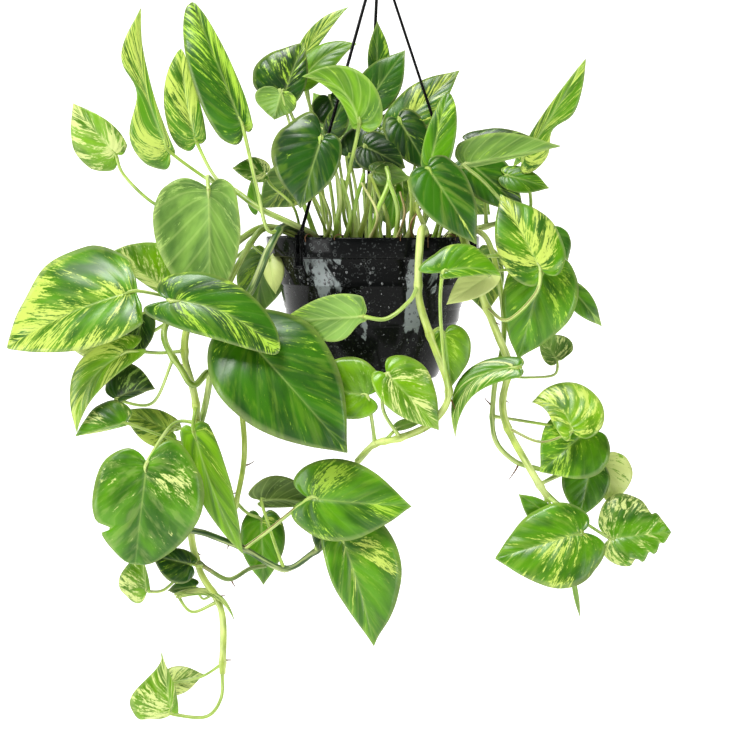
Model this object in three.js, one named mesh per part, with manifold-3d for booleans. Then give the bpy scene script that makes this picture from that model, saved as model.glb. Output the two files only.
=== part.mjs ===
// Potted pothos in a hanging pot: a black plastic pot on a three-strand hanger, filled with potting mix,
// with the vines that trail over its rim and the leaves that they and the crown carry.
// Millimetres, +Z up. The origin is where the hook bears on whatever it hangs from.
import * as THREE from 'three';
import * as BufferGeometryUtils from 'three/addons/utils/BufferGeometryUtils.js';
import Module from 'manifold-3d';

const wasm = await Module();
wasm.setup();

// ---------------------------------------------------------------- driving dimensions
const GAP = 0.3; // clearance between pieces that touch
const RIM_RADIUS = 100;
const POT_HEIGHT = 132;
const POT_WALL = 2;
const POT_SIDES = 40;
const SOIL_CENTRE = -5; // height of the mix at the middle of the pot
const SOIL_EDGE = -14; // and against its wall
const SOIL_RADIUS = 96;
const HOOK_BEARING = [5, -5, 300]; // in the pot's frame, whose origin is the middle of the rim
const HOOK_BEND = 14.5; // centre-line radius of the hook
const HOOK_ROD = 2.5;
const HUB_RADIUS = 8;
const HUB_BOTTOM = 246;
const HUB_TOP = 257;
const STRAND_ROD = 1.5;
const STRAND_SPREAD = 5; // from the hub's axis to each strand's upper end
const CLIP_WIDTH = 9;
const CLIP_THICKNESS = 2.2;
const CLIP_DROP = 27; // how far the clip's outer leg hangs below the rim
const LEAF_THICKNESS = 1;
const PETIOLE_RADIUS = 1.8;
const STALK_END = 0.03; // where the stalk runs into the midrib, as a part of its length
const PETIOLE_STEP = 15; // length of stalk between two rings of points
const FACING = [0, 20]; // where a leaf's upper face looks when it gives no face of its own
const BEND = 20; // the usual arch of a midrib, in degrees
const CURL = 28; // how far each half of a blade usually bends down, in degrees
const BIG_LEAF = 72; // blades longer than this get a second strip of faces on each side

// Where each strand clips onto the rim, in degrees from +X towards +Y.
const STRANDS = { hanger_strand_left: 230, hanger_strand_right: -26, hanger_strand_back: 94 };

// The pot's outer outline from the foot up: [radius, height].
const POT_OUTLINE = [
  [57, -POT_HEIGHT], [61, -130], [79.5, -79], [82, -66], [88, -42], [92, -18], [98.5, -17], [RIM_RADIUS, 0],
];
// Its inner outline from the rim down.
const POT_BORE = [
  [RIM_RADIUS - POT_WALL, 0], [96.5, -15], [90, -16], [86, -43], [80, -67], [77.5, -80],
  [58.5, -POT_HEIGHT + POT_WALL],
];

// ---------------------------------------------------------------- vines
// Each vine is a centre line through a few points. One that starts with [x, y] comes up out of the mix
// there; one with "from" branches off that vine.
const VINES = {
  vine_left_long: {
    radius: 3.6,
    path: [
      [-52, -26], [-62, -36, 2], [-80, -55, 9], [-92, -72, -10], [-115, -68, -55], [-160, -60, -72],
      [-170, -58, -105], [-160, -56, -160], [-168, -50, -255], [-160, -50, -305], [-140, -50, -345],
      [-140, -46, -405],
    ],
  },
  vine_left_dark: {
    radius: 3.2,
    path: [
      [-66, 10], [-76, 12, 2], [-105, 16, 8], [-135, 0, -13], [-165, -25, -48], [-188, -60, -85],
      [-170, -72, -120], [-160, -72, -132], [-148, -60, -122], [-155, -44, -160], [-175, -45, -225],
      [-178, -66, -258], [-150, -62, -270], [-118, -55, -285], [-82, -50, -305], [-55, -50, -290],
      [-42, -50, -280],
    ],
  },
  vine_middle: {
    radius: 3,
    path: [
      [-64, -4], [-74, -6, 4], [-93, -14, 8], [-108, -23, 0], [-132, -38, -45], [-138, -42, -78],
      [-122, -42, -150], [-118, -44, -200], [-127, -42, -250],
    ],
  },
  vine_cross: {
    radius: 2.3,
    from: 'vine_left_long',
    path: [[-162, -50, -298], [-150, -58, -304], [-132, -58, -313], [-114, -46, -306], [-99, -42, -304]],
  },
  vine_front: {
    radius: 3.6,
    path: [
      [50, -66], [47, -79, 2], [44, -93, 8], [41, -105, -2], [40, -104, -50], [50, -101, -85],
      [67, -94, -135], [52, -93, -163], [24, -90, -177], [2, -80, -184], [-14, -60, -203],
    ],
  },
  vine_right_thin: {
    radius: 2.6,
    path: [
      [78, -14], [87, -17, 2], [96, -24, 5], [106, -36, -6], [115, -48, -42], [119, -50, -90],
      [110, -54, -140], [111, -52, -182], [130, -45, -205], [154, -38, -214],
    ],
  },
  vine_right_thick: {
    radius: 3.7,
    path: [
      [62, -42], [70, -50, 1], [77, -64, 7], [84, -80, -12], [96, -84, -50], [112, -72, -88],
      [122, -66, -115], [117, -66, -148], [122, -66, -172], [140, -61, -205], [160, -56, -238],
    ],
  },
  stem_left_crown: {
    radius: 3,
    path: [[-48, -40], [-55, -48, 3], [-75, -61, 13], [-102, -64, 26], [-125, -54, 42], [-144, -42, 48]],
  },
  stem_right_crown: {
    radius: 3,
    path: [[72, 16], [83, 20, 3], [103, 24, 8], [127, 0, 13], [150, -22, 4]],
  },
};

// ---------------------------------------------------------------- leaves
// A leaf is grown as one piece. Its stalk starts on the vine "from", at the place "at" counted in points of
// that vine's path, or in the mix at "root", and runs through "via" to the blade. The blade goes from base
// to tip; width is how far its left and right halves reach, as seen on the upper face with the tip up.
// face is where the upper face looks: degrees from straight ahead of the plant towards +X, then upwards.
// bend arches the midrib towards the upper face and sweep towards the right, both as the angle it turns
// through. twist turns the blade about its length, curl is how far each half bends down to its edge,
// lobe scales how far the heart-shaped base reaches back, shoulder widens the blade between the base and its
// widest place, and full widens it from there to the tip. A pair of values is for the left and right halves.
const LEAVES = {
  // upper left
  leaf_far_left_top: {
    from: 'stem_left_crown', at: 4.8, via: [[-170, -32, 22], [-200, -28, 30], [-228, -24, 56]],
    base: [-235, -25, 75], tip: [-270, -40, 120], width: [29, 17], face: [-20, 10], lobe: [1.4, 0.5],
  },
  leaf_left_twisted: {
    from: 'stem_left_crown', at: 4.8, via: [[-155, -36, 55]],
    base: [-183, -40, 76], tip: [-206, -50, 203], width: [31, 6], sweep: -34, twist: 35, curl: 35,
    lobe: [0.7, 0.2],
  },
  leaf_left_narrow: {
    from: 'stem_left_crown', at: 4.6, via: [[-148, -42, 62]],
    base: [-160, -36, 86], tip: [-172, -40, 168], width: [21, 12], sweep: -15, curl: 35, full: 1.6,
    lobe: [0.6, 0.3],
  },
  leaf_left_tall: {
    from: 'vine_left_long', at: 2.4, via: [[-94, -74, 8], [-103, -70, 45]],
    base: [-115, -62, 96], tip: [-160, -56, 207], width: [27, 12], sweep: 0, curl: [30, -50], full: 2.2,
    lobe: [0.7, 0.3],
  },
  leaf_left_hanging: {
    from: 'stem_left_crown', at: 4.9, via: [[-147, -60, 54]],
    base: [-145, -75, 43], tip: [-145, -75, -62], width: [50, 28], full: 1.5, face: [180, -5], lobe: 0.6,
  },
  leaf_left_behind: {
    from: 'vine_middle', at: 3.3, via: [[-135, -22, -24]],
    base: [-190, -25, -48], tip: [-239, -36, -15], width: [8, 34], full: 1.4,
  },
  leaf_left_big: {
    from: 'vine_left_dark', at: 4.3, via: [[-188, -70, -52]],
    base: [-208, -88, -47], tip: [-325, -80, -98], width: [40, 58], face: [-10, 25], sweep: 12, curl: 35,
    shoulder: [1, 0.35], full: 1.3, lobe: 0.1,
  },
  leaf_front_left: {
    from: 'vine_left_long', at: 4, via: [[-145, -88, -50]],
    base: [-177, -106, -54], tip: [-82, -113, -100], width: [28, 26], face: [0, 15], sweep: -45, curl: 30,
    full: 1.8, lobe: [0.8, 1.4],
  },
  leaf_front_big: {
    from: 'vine_middle', at: 4.8, via: [[-126, -72, -76]],
    base: [-113, -92, -86], tip: [-22, -106, -188], width: [50, 52], shoulder: [0.6, 1], full: 1.1, bend: 25,
  },
  leaf_left_pointed: {
    from: 'vine_left_long', at: 5.95, via: [[-192, -64, -104]],
    base: [-218, -66, -102], tip: [-267, -66, -176], width: [13, 20], sweep: 65, curl: [30, 40],
  },
  leaf_left_dark: {
    from: 'vine_left_dark', at: 9.5, via: [[-196, -50, -180]],
    base: [-224, -60, -168], tip: [-270, -60, -180], width: [3, 24], lobe: [0.5, 1.2],
  },
  leaf_left_heart: {
    from: 'vine_left_long', at: 7.1, via: [[-182, -56, -170]],
    base: [-201, -88, -200], tip: [-213, -88, -292], width: [54, 44], full: 2,
    face: [8, 25], lobe: [1.9, 0.9],
  },
  leaf_left_folded: {
    from: 'vine_left_long', at: 6.9, via: [[-161, -64, -160]],
    base: [-162, -68, -172], tip: [-118, -68, -287], width: [18, 15], full: 1.2,
    sweep: 12, curl: 40, lobe: 0.3,
  },
  // lower middle
  leaf_low_grey: {
    from: 'vine_left_dark', at: 14, via: [[-90, -60, -278]],
    base: [-102, -56, -240], tip: [-50, -48, -247], width: [8, 22], face: [180, 0], sweep: 25,
    lobe: [0.5, 1.6],
  },
  leaf_low_hanging: {
    from: 'vine_middle', at: 7.9, via: [[-116, -36, -256]],
    base: [-104, -32, -262], tip: [-102, -35, -324], width: [22, 20],
  },
  leaf_low_heart: {
    from: 'vine_left_dark', at: 13, via: [[-95, -70, -265]],
    base: [-57, -82, -233], tip: [35, -84, -240], width: [38, 36], face: [0, 5], bend: 25, lobe: 1.3,
  },
  leaf_low_big: {
    from: 'vine_left_dark', at: 15.9, via: [[-36, -60, -271]],
    base: [-30, -76, -266], tip: [1, -78, -370], width: [44, 22], sweep: -12, curl: 32, lobe: [1, 0.7],
  },
  leaf_low_pale: {
    from: 'vine_left_long', at: 8.8, via: [[-178, -40, -312], [-195, -38, -328]],
    base: [-210, -42, -328], tip: [-216, -42, -290], width: [24, 4], lobe: [2.2, 0.5],
  },
  leaf_low_arched: {
    from: 'vine_left_long', at: 9.8, via: [[-166, -60, -343]],
    base: [-178, -64, -326], tip: [-126, -68, -350], width: [4, 5], face: [0, 60], sweep: -100, lobe: 0.3,
  },
  leaf_lowest: {
    from: 'vine_left_long', at: 10.95, via: [[-142, -44, -430], [-156, -48, -446]],
    base: [-187, -54, -441], tip: [-196, -50, -384], width: [36, 8], curl: 20,
    full: [0.45, 0.75], lobe: [0.5, 0.3],
  },
  leaf_lowest_pale: {
    from: 'vine_left_long', at: 10.85, via: [[-162, -40, -411]],
    base: [-195, -28, -421], tip: [-160, -26, -412], width: [14, 13],
  },
  // in front of the pot
  leaf_front_pale: {
    from: 'vine_front', at: 3.8, via: [[32, -114, -54], [12, -121, -69]],
    base: [-8, -110, -68], tip: [-84, -79, -75], width: [21, 22], face: [180, 0],
    shoulder: [1, 0.3], lobe: 0.4,
  },
  leaf_below_pot_left: {
    from: 'vine_front', at: 9, via: [[-1, -90, -160]],
    base: [-5, -92, -139], tip: [-62, -76, -130], width: [24, 32], face: [0, 0], lobe: 1.4,
  },
  leaf_below_pot_right: {
    from: 'vine_front', at: 8, via: [[9, -99, -150]],
    base: [12, -106, -118], tip: [58, -106, -168], width: [28, 20],
  },
  leaf_pot_right: {
    from: 'vine_front', at: 6, via: [[62, -112, -105], [58, -121, -60]],
    base: [60, -121, -29], tip: [111, -114, -33], width: [22, 8], sweep: -40, curl: [30, 40],
    lobe: [2.6, 0.5],
  },
  leaf_right_hidden: {
    from: 'vine_front', at: 5, via: [[57, -93, -80]],
    base: [63, -88, -84], tip: [70, -85, -132], width: [22, 11],
  },
  leaf_right_bowed: {
    from: 'vine_right_thick', at: 6, via: [[126, -80, -113]],
    base: [130, -92, -114], tip: [73, -97, -176], width: [12, 12], lobe: 0.2, face: [0, 40], sweep: 95,
  },
  // right
  leaf_right_variegated: {
    from: 'vine_right_thick', at: 4.3, via: [[118, -98, -72], [142, -104, -48]],
    base: [146, -100, -28], tip: [112, -80, 38], width: [28, 30], curl: 35,
  },
  leaf_right_big: {
    from: 'vine_right_thick', at: 3.3, via: [[105, -92, -16], [130, -84, -20]],
    base: [152, -78, -26], tip: [130, -72, -108], width: [36, 30], curl: 35, full: 1.1,
  },
  leaf_right_low_pale: {
    from: 'vine_right_thick', at: 6.3, via: [[140, -56, -127], [165, -51, -125]],
    base: [168, -50, -112], tip: [152, -45, -88], width: [20, 10], face: [180, 0], lobe: 0.5,
  },
  leaf_right_dark: {
    root: [33, -48], via: [[34, -72, 20], [36, -98, 50]],
    base: [47, -108, 60], tip: [90, -110, -6], width: [24, 25], lobe: 0.5,
  },
  leaf_right_upright: {
    root: [46, -40], via: [[47, -60, 28]],
    base: [50, -78, 62], tip: [66, -72, 127], width: [10, 17], lobe: 0.4, curl: 20, full: 2,
  },
  leaf_right_pale: {
    from: 'stem_right_crown', at: 3.3, via: [[116, -44, 32], [98, -62, 50]],
    base: [80, -68, 64], tip: [168, -58, 81], width: [4, 23], face: [180, 0], lobe: 0.5,
  },
  leaf_right_tall: {
    from: 'stem_right_crown', at: 3.7, via: [[146, -10, 35]],
    base: [137, -22, 70], tip: [192, -34, 160], width: [8, 19], full: 1.3, sweep: 10, twist: 25, lobe: 0.7,
  },
  leaf_right_deep: {
    root: [60, -16], via: [[72, -20, 38]],
    base: [88, -18, 68], tip: [140, -13, 22], width: [24, 22],
  },
  // top middle
  leaf_top_dark: {
    root: [8, 20], via: [[0, 18, 52]], base: [-3, 4, 125], tip: [30, -3, 171], width: [20, 20],
  },
  leaf_top_right: {
    root: [30, -8], via: [[26, -10, 50]], base: [23, -13, 98], tip: [80, -10, 152], width: [22, 18],
  },
  leaf_top_bright: {
    root: [-34, 0], via: [[-42, -4, 60]],
    base: [-64, -15, 143], tip: [-14, -18, 175], width: [14, 16], sweep: -45,
  },
  leaf_top_left: {
    root: [-44, -8], via: [[-52, -20, 55]],
    base: [-80, -42, 126], tip: [-62, -38, 174], width: [34, 16], curl: 35,
  },
  leaf_top_pale: {
    root: [-18, -44], via: [[-26, -62, 28]],
    base: [-12, -80, 97], tip: [-62, -78, 140], width: [25, 8], face: [180, 0], sweep: -80,
    lobe: [0.6, 0.2],
  },
  leaf_top_heart: {
    root: [-34, -52], via: [[-29, -76, 42]],
    base: [-44, -98, 86], tip: [-63, -98, 25], width: [22, 40], lobe: [0.7, 2.2],
  },
  // lower right
  leaf_cluster_top: {
    from: 'vine_right_thick', at: 8, via: [[150, -82, -182]],
    base: [177, -86, -172], tip: [143, -68, -148], width: [14, 33], sweep: 85, curl: 20,
  },
  leaf_cluster_round: {
    from: 'vine_right_thin', at: 6.5, via: [[145, -57, -168]],
    base: [194, -60, -176], tip: [151, -66, -212], width: [36, 30], lobe: 1.5,
  },
  leaf_cluster_low: {
    from: 'vine_right_thick', at: 9.95, via: [[175, -68, -248]],
    base: [188, -82, -264], tip: [110, -82, -288], width: [44, 32], full: 1.1, lobe: [1.5, 1],
  },
  leaf_cluster_ragged: {
    from: 'vine_right_thick', at: 9.7, via: [[180, -46, -252]],
    base: [216, -62, -274], tip: [272, -62, -268], width: [40, 27], full: 1.2, lobe: 1.1,
  },
};

// The rows of faces across one half of a blade, base to tip: where the row leaves the midrib and where it
// meets the edge, both as parts of the midrib's length, and the half width there.
const BLADE_ROWS = [
  { start: 0, edge: 0, width: 0 },
  { start: 0.035, edge: -0.12, width: 0.48 },
  { start: 0.09, edge: 0.02, width: 0.84 },
  { start: 0.18, edge: 0.25, width: 1 },
  { start: 0.3, edge: 0.45, width: 0.93 },
  { start: 0.46, edge: 0.63, width: 0.72 },
  { start: 0.64, edge: 0.79, width: 0.43 },
  { start: 0.82, edge: 0.92, width: 0.15 },
  { start: 1, edge: 1, width: 0 },
];
const WIDEST = 0.25; // where the blade is widest, as a part of the midrib's length

// ---------------------------------------------------------------- materials
const material = (color, roughness) => new THREE.MeshStandardMaterial({ color, roughness, metalness: 0 });
const BLACK_PLASTIC = material('#17181a', 0.35);
const POTTING_MIX = material('#3a2c20', 1);
const VINE_GREEN = material('#7d9a3c', 0.5);
const LEAF_GREEN = material('#3f7d27', 0.4);
const LEAF_PALER = material('#8fae63', 0.6);

// ---------------------------------------------------------------- solids
const group = new THREE.Group();
const vector = (point) => new THREE.Vector3(...point);

function add(name, geometry, look) {
  const mesh = new THREE.Mesh(geometry, look);
  mesh.name = name;
  group.add(mesh);
}

function toManifold(geometry) {
  const bare = geometry.clone();
  bare.deleteAttribute('normal');
  bare.deleteAttribute('uv');
  const merged = BufferGeometryUtils.mergeVertices(bare, 1e-4);
  return new wasm.Manifold(new wasm.Mesh({
    numProp: 3,
    vertProperties: merged.attributes.position.array,
    triVerts: new Uint32Array(merged.index.array),
  }));
}

function toGeometry(solid) {
  const { vertProperties, triVerts } = solid.getMesh();
  const geometry = new THREE.BufferGeometry();
  geometry.setAttribute('position', new THREE.BufferAttribute(new Float32Array(vertProperties), 3));
  geometry.setIndex(new THREE.BufferAttribute(new Uint32Array(triVerts), 1));
  return geometry;
}

/** The biggest piece of a solid that a cut may have left in several. */
function biggestPiece(solid) {
  return solid.decompose().reduce((best, piece) => (piece.volume() > best.volume() ? piece : best));
}

/** A round rod along a smooth curve through the points. */
function rod(points, radius, sides, steps) {
  const section = new THREE.Shape(
    Array.from({ length: sides }, (_, i) => {
      const angle = (2 * Math.PI * i) / sides;
      return new THREE.Vector2(radius * Math.cos(angle), radius * Math.sin(angle));
    }),
  );
  const extrudePath = new THREE.CatmullRomCurve3(points.map(vector));
  return new THREE.ExtrudeGeometry(section, { extrudePath, steps, curveSegments: 1 });
}

/** A solid of revolution about Z from a closed outline of [radius, height] points. */
function turned(outline) {
  const points = outline.map(([radius, height]) => new THREE.Vector2(radius, height));
  return new THREE.LatheGeometry(points, POT_SIDES).rotateX(Math.PI / 2);
}

// ---------------------------------------------------------------- pot, mix and hanger
const soilTop = (x, y) => SOIL_CENTRE + (SOIL_EDGE - SOIL_CENTRE) * (Math.hypot(x, y) / SOIL_RADIUS) ** 2;

function makePot() {
  return turned([[0, -POT_HEIGHT], ...POT_OUTLINE, ...POT_BORE, [0, -POT_HEIGHT + POT_WALL]]);
}

function makeSoil() {
  const surface = [1, 0.6, 0.3, 0].map((part) => [part * SOIL_RADIUS, soilTop(part * SOIL_RADIUS, 0)]);
  const wall = POT_BORE.slice(1).reverse().map(([radius, height]) => [radius - GAP - 0.1, height + GAP]);
  wall[wall.length - 1] = [SOIL_RADIUS, SOIL_EDGE - 2 * GAP];
  return turned([[0, -POT_HEIGHT + POT_WALL + GAP], ...wall, ...surface]);
}

/** One strand: a straight rod from the hub down to a clip that straddles the rim. */
function makeStrand(azimuth) {
  const [hubX, hubY] = HOOK_BEARING;
  const angle = THREE.MathUtils.degToRad(azimuth);
  const outward = new THREE.Vector3(Math.cos(angle), Math.sin(angle), 0);
  const outer = RIM_RADIUS + 0.5;
  const inner = POT_BORE[0][0] - 1.2;
  const bridge = CLIP_THICKNESS + 0.4;
  const clip = new THREE.Shape([
    [outer, -CLIP_DROP], [outer + CLIP_THICKNESS, -CLIP_DROP], [outer + CLIP_THICKNESS, bridge],
    [inner - CLIP_THICKNESS, bridge], [inner - CLIP_THICKNESS, -8], [inner, -8], [inner, 0.4], [outer, 0.4],
  ].map(([x, y]) => new THREE.Vector2(x, y)));
  const clipGeometry = new THREE.ExtrudeGeometry(clip, { depth: CLIP_WIDTH, bevelEnabled: false });
  clipGeometry.translate(0, 0, -CLIP_WIDTH / 2).rotateX(Math.PI / 2).rotateZ(angle);
  const foot = outward.clone().multiplyScalar(RIM_RADIUS - 1).setZ(1);
  const top = new THREE.Vector3(hubX, hubY, HUB_BOTTOM - GAP - 0.6).addScaledVector(outward, STRAND_SPREAD);
  const line = rod([foot.toArray(), top.toArray()], STRAND_ROD, 8, 1);
  return toGeometry(toManifold(clipGeometry).add(toManifold(line)));
}

/** The moulded hook: a round hub that holds the three strands, and an open hook above it. */
function makeHook() {
  const [x, y, z] = HOOK_BEARING;
  const centre = z + HOOK_ROD - HOOK_BEND;
  const points = [[x, y, HUB_TOP - 2], [x, y, HUB_TOP + 6]];
  for (let degrees = -40; degrees <= 200; degrees += 30) {
    const angle = THREE.MathUtils.degToRad(degrees);
    points.push([x + HOOK_BEND * Math.cos(angle), y, centre + HOOK_BEND * Math.sin(angle)]);
  }
  const hub = new THREE.CylinderGeometry(HUB_RADIUS, HUB_RADIUS + 1, HUB_TOP - HUB_BOTTOM, 16);
  hub.rotateX(Math.PI / 2).translate(x, y, (HUB_TOP + HUB_BOTTOM) / 2);
  return toGeometry(toManifold(hub).add(toManifold(rod(points, HOOK_ROD, 8, 28))));
}

// ---------------------------------------------------------------- vines and leaves
/** Points whose first is [x, y] start just above the mix and leave it straight up. */
function rooted(points, radius) {
  const [x, y] = points[0];
  if (points[0].length === 3) return points;
  const foot = soilTop(Math.max(Math.hypot(x, y) - radius, 0), 0) + GAP;
  return [[x, y, foot], [x, y, foot + 4], ...points.slice(1)];
}

/** Length of the smooth curve through the points. */
function pathLength(points) {
  return new THREE.CatmullRomCurve3(points.map(vector)).getLength();
}

/** A vine's rod, with its rings of points a little under three diameters apart. */
function vineRod(name, swell = 0) {
  const { radius, path } = VINES[name];
  const points = rooted(path, radius);
  return rod(points, radius + swell, 8, Math.round(pathLength(points) / (5.5 * radius)));
}

const stalkCut = {}; // each vine swollen by the gap, to cut its branches back to its surface
for (const name of Object.keys(VINES)) stalkCut[name] = toManifold(vineRod(name, GAP));

function makeVine(name) {
  const { from } = VINES[name];
  if (!from) return vineRod(name);
  return toGeometry(biggestPiece(toManifold(vineRod(name)).subtract(stalkCut[from])));
}

/** The point on a vine's centre line at a place counted in points of its path. */
function onVine(name, place) {
  const { radius, path } = VINES[name];
  const points = rooted(path, radius);
  const added = points.length - path.length;
  return new THREE.CatmullRomCurve3(points.map(vector)).getPoint((place + added) / (points.length - 1));
}

/** The direction that is turned so many degrees from straight ahead of the plant towards +X, and up. */
function facing([sideways, upwards]) {
  const [turn, rise] = [sideways, upwards].map(THREE.MathUtils.degToRad);
  return new THREE.Vector3(Math.sin(turn) * Math.cos(rise), -Math.cos(turn) * Math.cos(rise), Math.sin(rise));
}

/** The blade's surface: a function of the side (-1 left, 1 right), the row and the part of the way out. */
function bladeSurface(leaf) {
  const [base, tip] = [leaf.base, leaf.tip].map(vector);
  const ahead = tip.clone().sub(base).normalize();
  const upper = facing(leaf.face ?? FACING);
  upper.addScaledVector(ahead, -upper.dot(ahead)).normalize();
  const right = ahead.clone().cross(upper);
  const bow = (degrees) => (tip.distanceTo(base) / 2) * Math.tan(THREE.MathUtils.degToRad(degrees) / 2);
  const control = base.clone().add(tip).multiplyScalar(0.5);
  control.addScaledVector(upper, bow(leaf.bend ?? BEND)).addScaledVector(right, bow(leaf.sweep ?? 0));
  const midrib = new THREE.QuadraticBezierCurve3(base, control, tip);
  const onMidrib = (s) => {
    if (s >= 0) return midrib.getPoint(s);
    return base.clone().addScaledVector(control.clone().sub(base), 2 * s);
  };
  const ofSide = (value, side) => (Array.isArray(value) ? value[side < 0 ? 0 : 1] : value);
  const twist = THREE.MathUtils.degToRad(leaf.twist ?? 0);

  return (side, { start, edge, width }, part) => {
    const bend = THREE.MathUtils.degToRad(ofSide(leaf.curl ?? CURL, side));
    const s = start * (1 - part) + (edge < 0 ? edge * ofSide(leaf.lobe ?? 1, side) : edge) * part;
    const fullness = ofSide((edge > WIDEST ? leaf.full : leaf.shoulder) ?? 1, side);
    const reach = ofSide(leaf.width, side) * width ** (1 / fullness);
    const direction = midrib.getTangent(THREE.MathUtils.clamp(s, 0, 1));
    const across = right.clone().multiplyScalar(side).applyAxisAngle(ahead, twist * (s - WIDEST));
    across.addScaledVector(direction, -across.dot(direction)).normalize();
    const up = across.clone().multiplyScalar(side).cross(direction);
    const arc = 1 / (2 * Math.sin(bend / 2));
    const out = arc * (Math.sin(bend / 2) - Math.sin(bend / 2 - bend * part));
    const rise = arc * (Math.cos(bend / 2 - bend * part) - Math.cos(bend / 2));
    return onMidrib(s).addScaledVector(across, out * reach).addScaledVector(up, rise * reach);
  };
}

/** A closed blade of even thickness: its two faces, and a strip around the edge. */
function makeBlade(leaf) {
  const surface = bladeSurface(leaf);
  const strips = vector(leaf.tip).distanceTo(vector(leaf.base)) > BIG_LEAF ? 2 : 1;
  const columns = 2 * strips + 1; // from the left edge over the midrib to the right edge
  const last = BLADE_ROWS.length - 1;
  const points = [surface(1, BLADE_ROWS[0], 0)];
  for (let row = 1; row < last; row += 1) {
    for (let column = -strips; column <= strips; column += 1) {
      points.push(surface(Math.sign(column) || 1, BLADE_ROWS[row], Math.abs(column) / strips));
    }
  }
  points.push(surface(1, BLADE_ROWS[last], 0));
  const index = (row, column) => {
    if (row === 0) return 0;
    return row === last ? points.length - 1 : 1 + (row - 1) * columns + column;
  };
  const faces = [];
  for (let row = 0; row < last; row += 1) {
    for (let column = 0; column < columns - 1; column += 1) {
      const [a, b] = [index(row, column), index(row, column + 1)];
      const [c, d] = [index(row + 1, column + 1), index(row + 1, column)];
      if (a !== b) faces.push([a, b, c]);
      if (c !== d) faces.push([a, c, d]);
    }
  }
  const edge = [0];
  for (let row = 1; row < last; row += 1) edge.push(index(row, columns - 1));
  edge.push(points.length - 1);
  for (let row = last - 1; row > 0; row -= 1) edge.push(index(row, 0));

  const normals = points.map(() => new THREE.Vector3());
  for (const [a, b, c] of faces) {
    const normal = points[b].clone().sub(points[a]).cross(points[c].clone().sub(points[a]));
    for (const i of [a, b, c]) normals[i].add(normal);
  }
  normals.forEach((normal) => normal.setLength(LEAF_THICKNESS / 2));
  const count = points.length;
  const corners = [
    ...points.map((point, i) => point.clone().add(normals[i])),
    ...points.map((point, i) => point.clone().sub(normals[i])),
  ];
  const triangles = faces.flatMap(([a, b, c]) => [a, b, c, count + a, count + c, count + b]);
  edge.forEach((a, i) => {
    const b = edge[(i + 1) % edge.length];
    triangles.push(a, count + a, count + b, a, count + b, b);
  });
  const geometry = new THREE.BufferGeometry().setFromPoints(corners);
  geometry.setIndex(triangles);
  return geometry;
}

function makeLeaf(leaf) {
  const attachment = bladeSurface(leaf)(1, { start: STALK_END, edge: STALK_END, width: 0 }, 0);
  const start = leaf.from ? onVine(leaf.from, leaf.at).toArray() : leaf.root;
  const points = rooted([start, ...leaf.via, attachment.toArray()], PETIOLE_RADIUS);
  const steps = Math.max(3, Math.round(pathLength(points) / PETIOLE_STEP));
  const whole = toManifold(makeBlade(leaf)).add(toManifold(rod(points, PETIOLE_RADIUS, 5, steps)));
  return toGeometry(leaf.from ? biggestPiece(whole.subtract(stalkCut[leaf.from])) : whole);
}

// ---------------------------------------------------------------- the plant
add('pot', makePot(), BLACK_PLASTIC);
add('soil', makeSoil(), POTTING_MIX);
add('hanger_hook', makeHook(), BLACK_PLASTIC);
for (const [name, azimuth] of Object.entries(STRANDS)) add(name, makeStrand(azimuth), BLACK_PLASTIC);
for (const name of Object.keys(VINES)) add(name, makeVine(name), VINE_GREEN);
for (const [name, leaf] of Object.entries(LEAVES)) {
  const [sideways] = leaf.face ?? FACING;
  add(name, makeLeaf(leaf), Math.abs(sideways) > 90 ? LEAF_PALER : LEAF_GREEN);
}

group.position.set(...HOOK_BEARING).negate();
export default group;
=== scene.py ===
"""Looks for the potted pothos: fine leaves, vines, pot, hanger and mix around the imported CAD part.

Sizes are in millimetres in the pot's own frame: its origin is the middle of the rim, X is to the
right, Y away from the camera and Z up. A mesh is brought into the CAD's frame when it is made.
Colours are sRGB, 0 to 255, as they look in daylight.
"""
import itertools
import math

import bpy
import numpy as np
from mathutils import Euler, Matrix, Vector


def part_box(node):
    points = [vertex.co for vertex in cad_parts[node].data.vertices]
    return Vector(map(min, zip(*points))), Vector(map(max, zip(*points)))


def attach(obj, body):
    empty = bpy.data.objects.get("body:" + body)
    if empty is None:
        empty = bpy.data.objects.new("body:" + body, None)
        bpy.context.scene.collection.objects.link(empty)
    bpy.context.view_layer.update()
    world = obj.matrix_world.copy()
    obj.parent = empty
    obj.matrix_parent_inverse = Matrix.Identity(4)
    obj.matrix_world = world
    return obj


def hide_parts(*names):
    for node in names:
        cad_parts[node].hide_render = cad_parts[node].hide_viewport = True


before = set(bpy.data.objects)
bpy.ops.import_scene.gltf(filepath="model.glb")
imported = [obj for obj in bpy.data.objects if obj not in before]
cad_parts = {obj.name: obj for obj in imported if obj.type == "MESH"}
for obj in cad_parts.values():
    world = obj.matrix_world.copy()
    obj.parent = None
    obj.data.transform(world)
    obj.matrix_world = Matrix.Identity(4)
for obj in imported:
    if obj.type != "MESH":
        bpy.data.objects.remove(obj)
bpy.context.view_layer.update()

MM = 0.001
pot_low, pot_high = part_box("pot")
RIM = np.array([(pot_low.x + pot_high.x) / 2, (pot_low.y + pot_high.y) / 2, pot_high.z])
RIM_RADIUS = (pot_high.x - pot_low.x) / 2 / MM
POT_HEIGHT = (pot_high.z - pot_low.z) / MM

# ---------------------------------------------------------------- sizes shared with the CAD part
SOIL_CENTRE = -5  # height of the mix at the middle of the pot
SOIL_EDGE = -14  # and against its wall
SOIL_RADIUS = 96
HOOK_BEARING = -RIM / MM
HOOK_BEND = 14.5  # centre-line radius of the hook
HOOK_ROD = 2.5
HUB_BOTTOM = 246
HUB_TOP = 257
STRAND_SPREAD = 5  # from the hub's axis to each strand's upper end
CLIP_DROP = 27  # how far the clip's outer leg hangs below the rim
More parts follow.
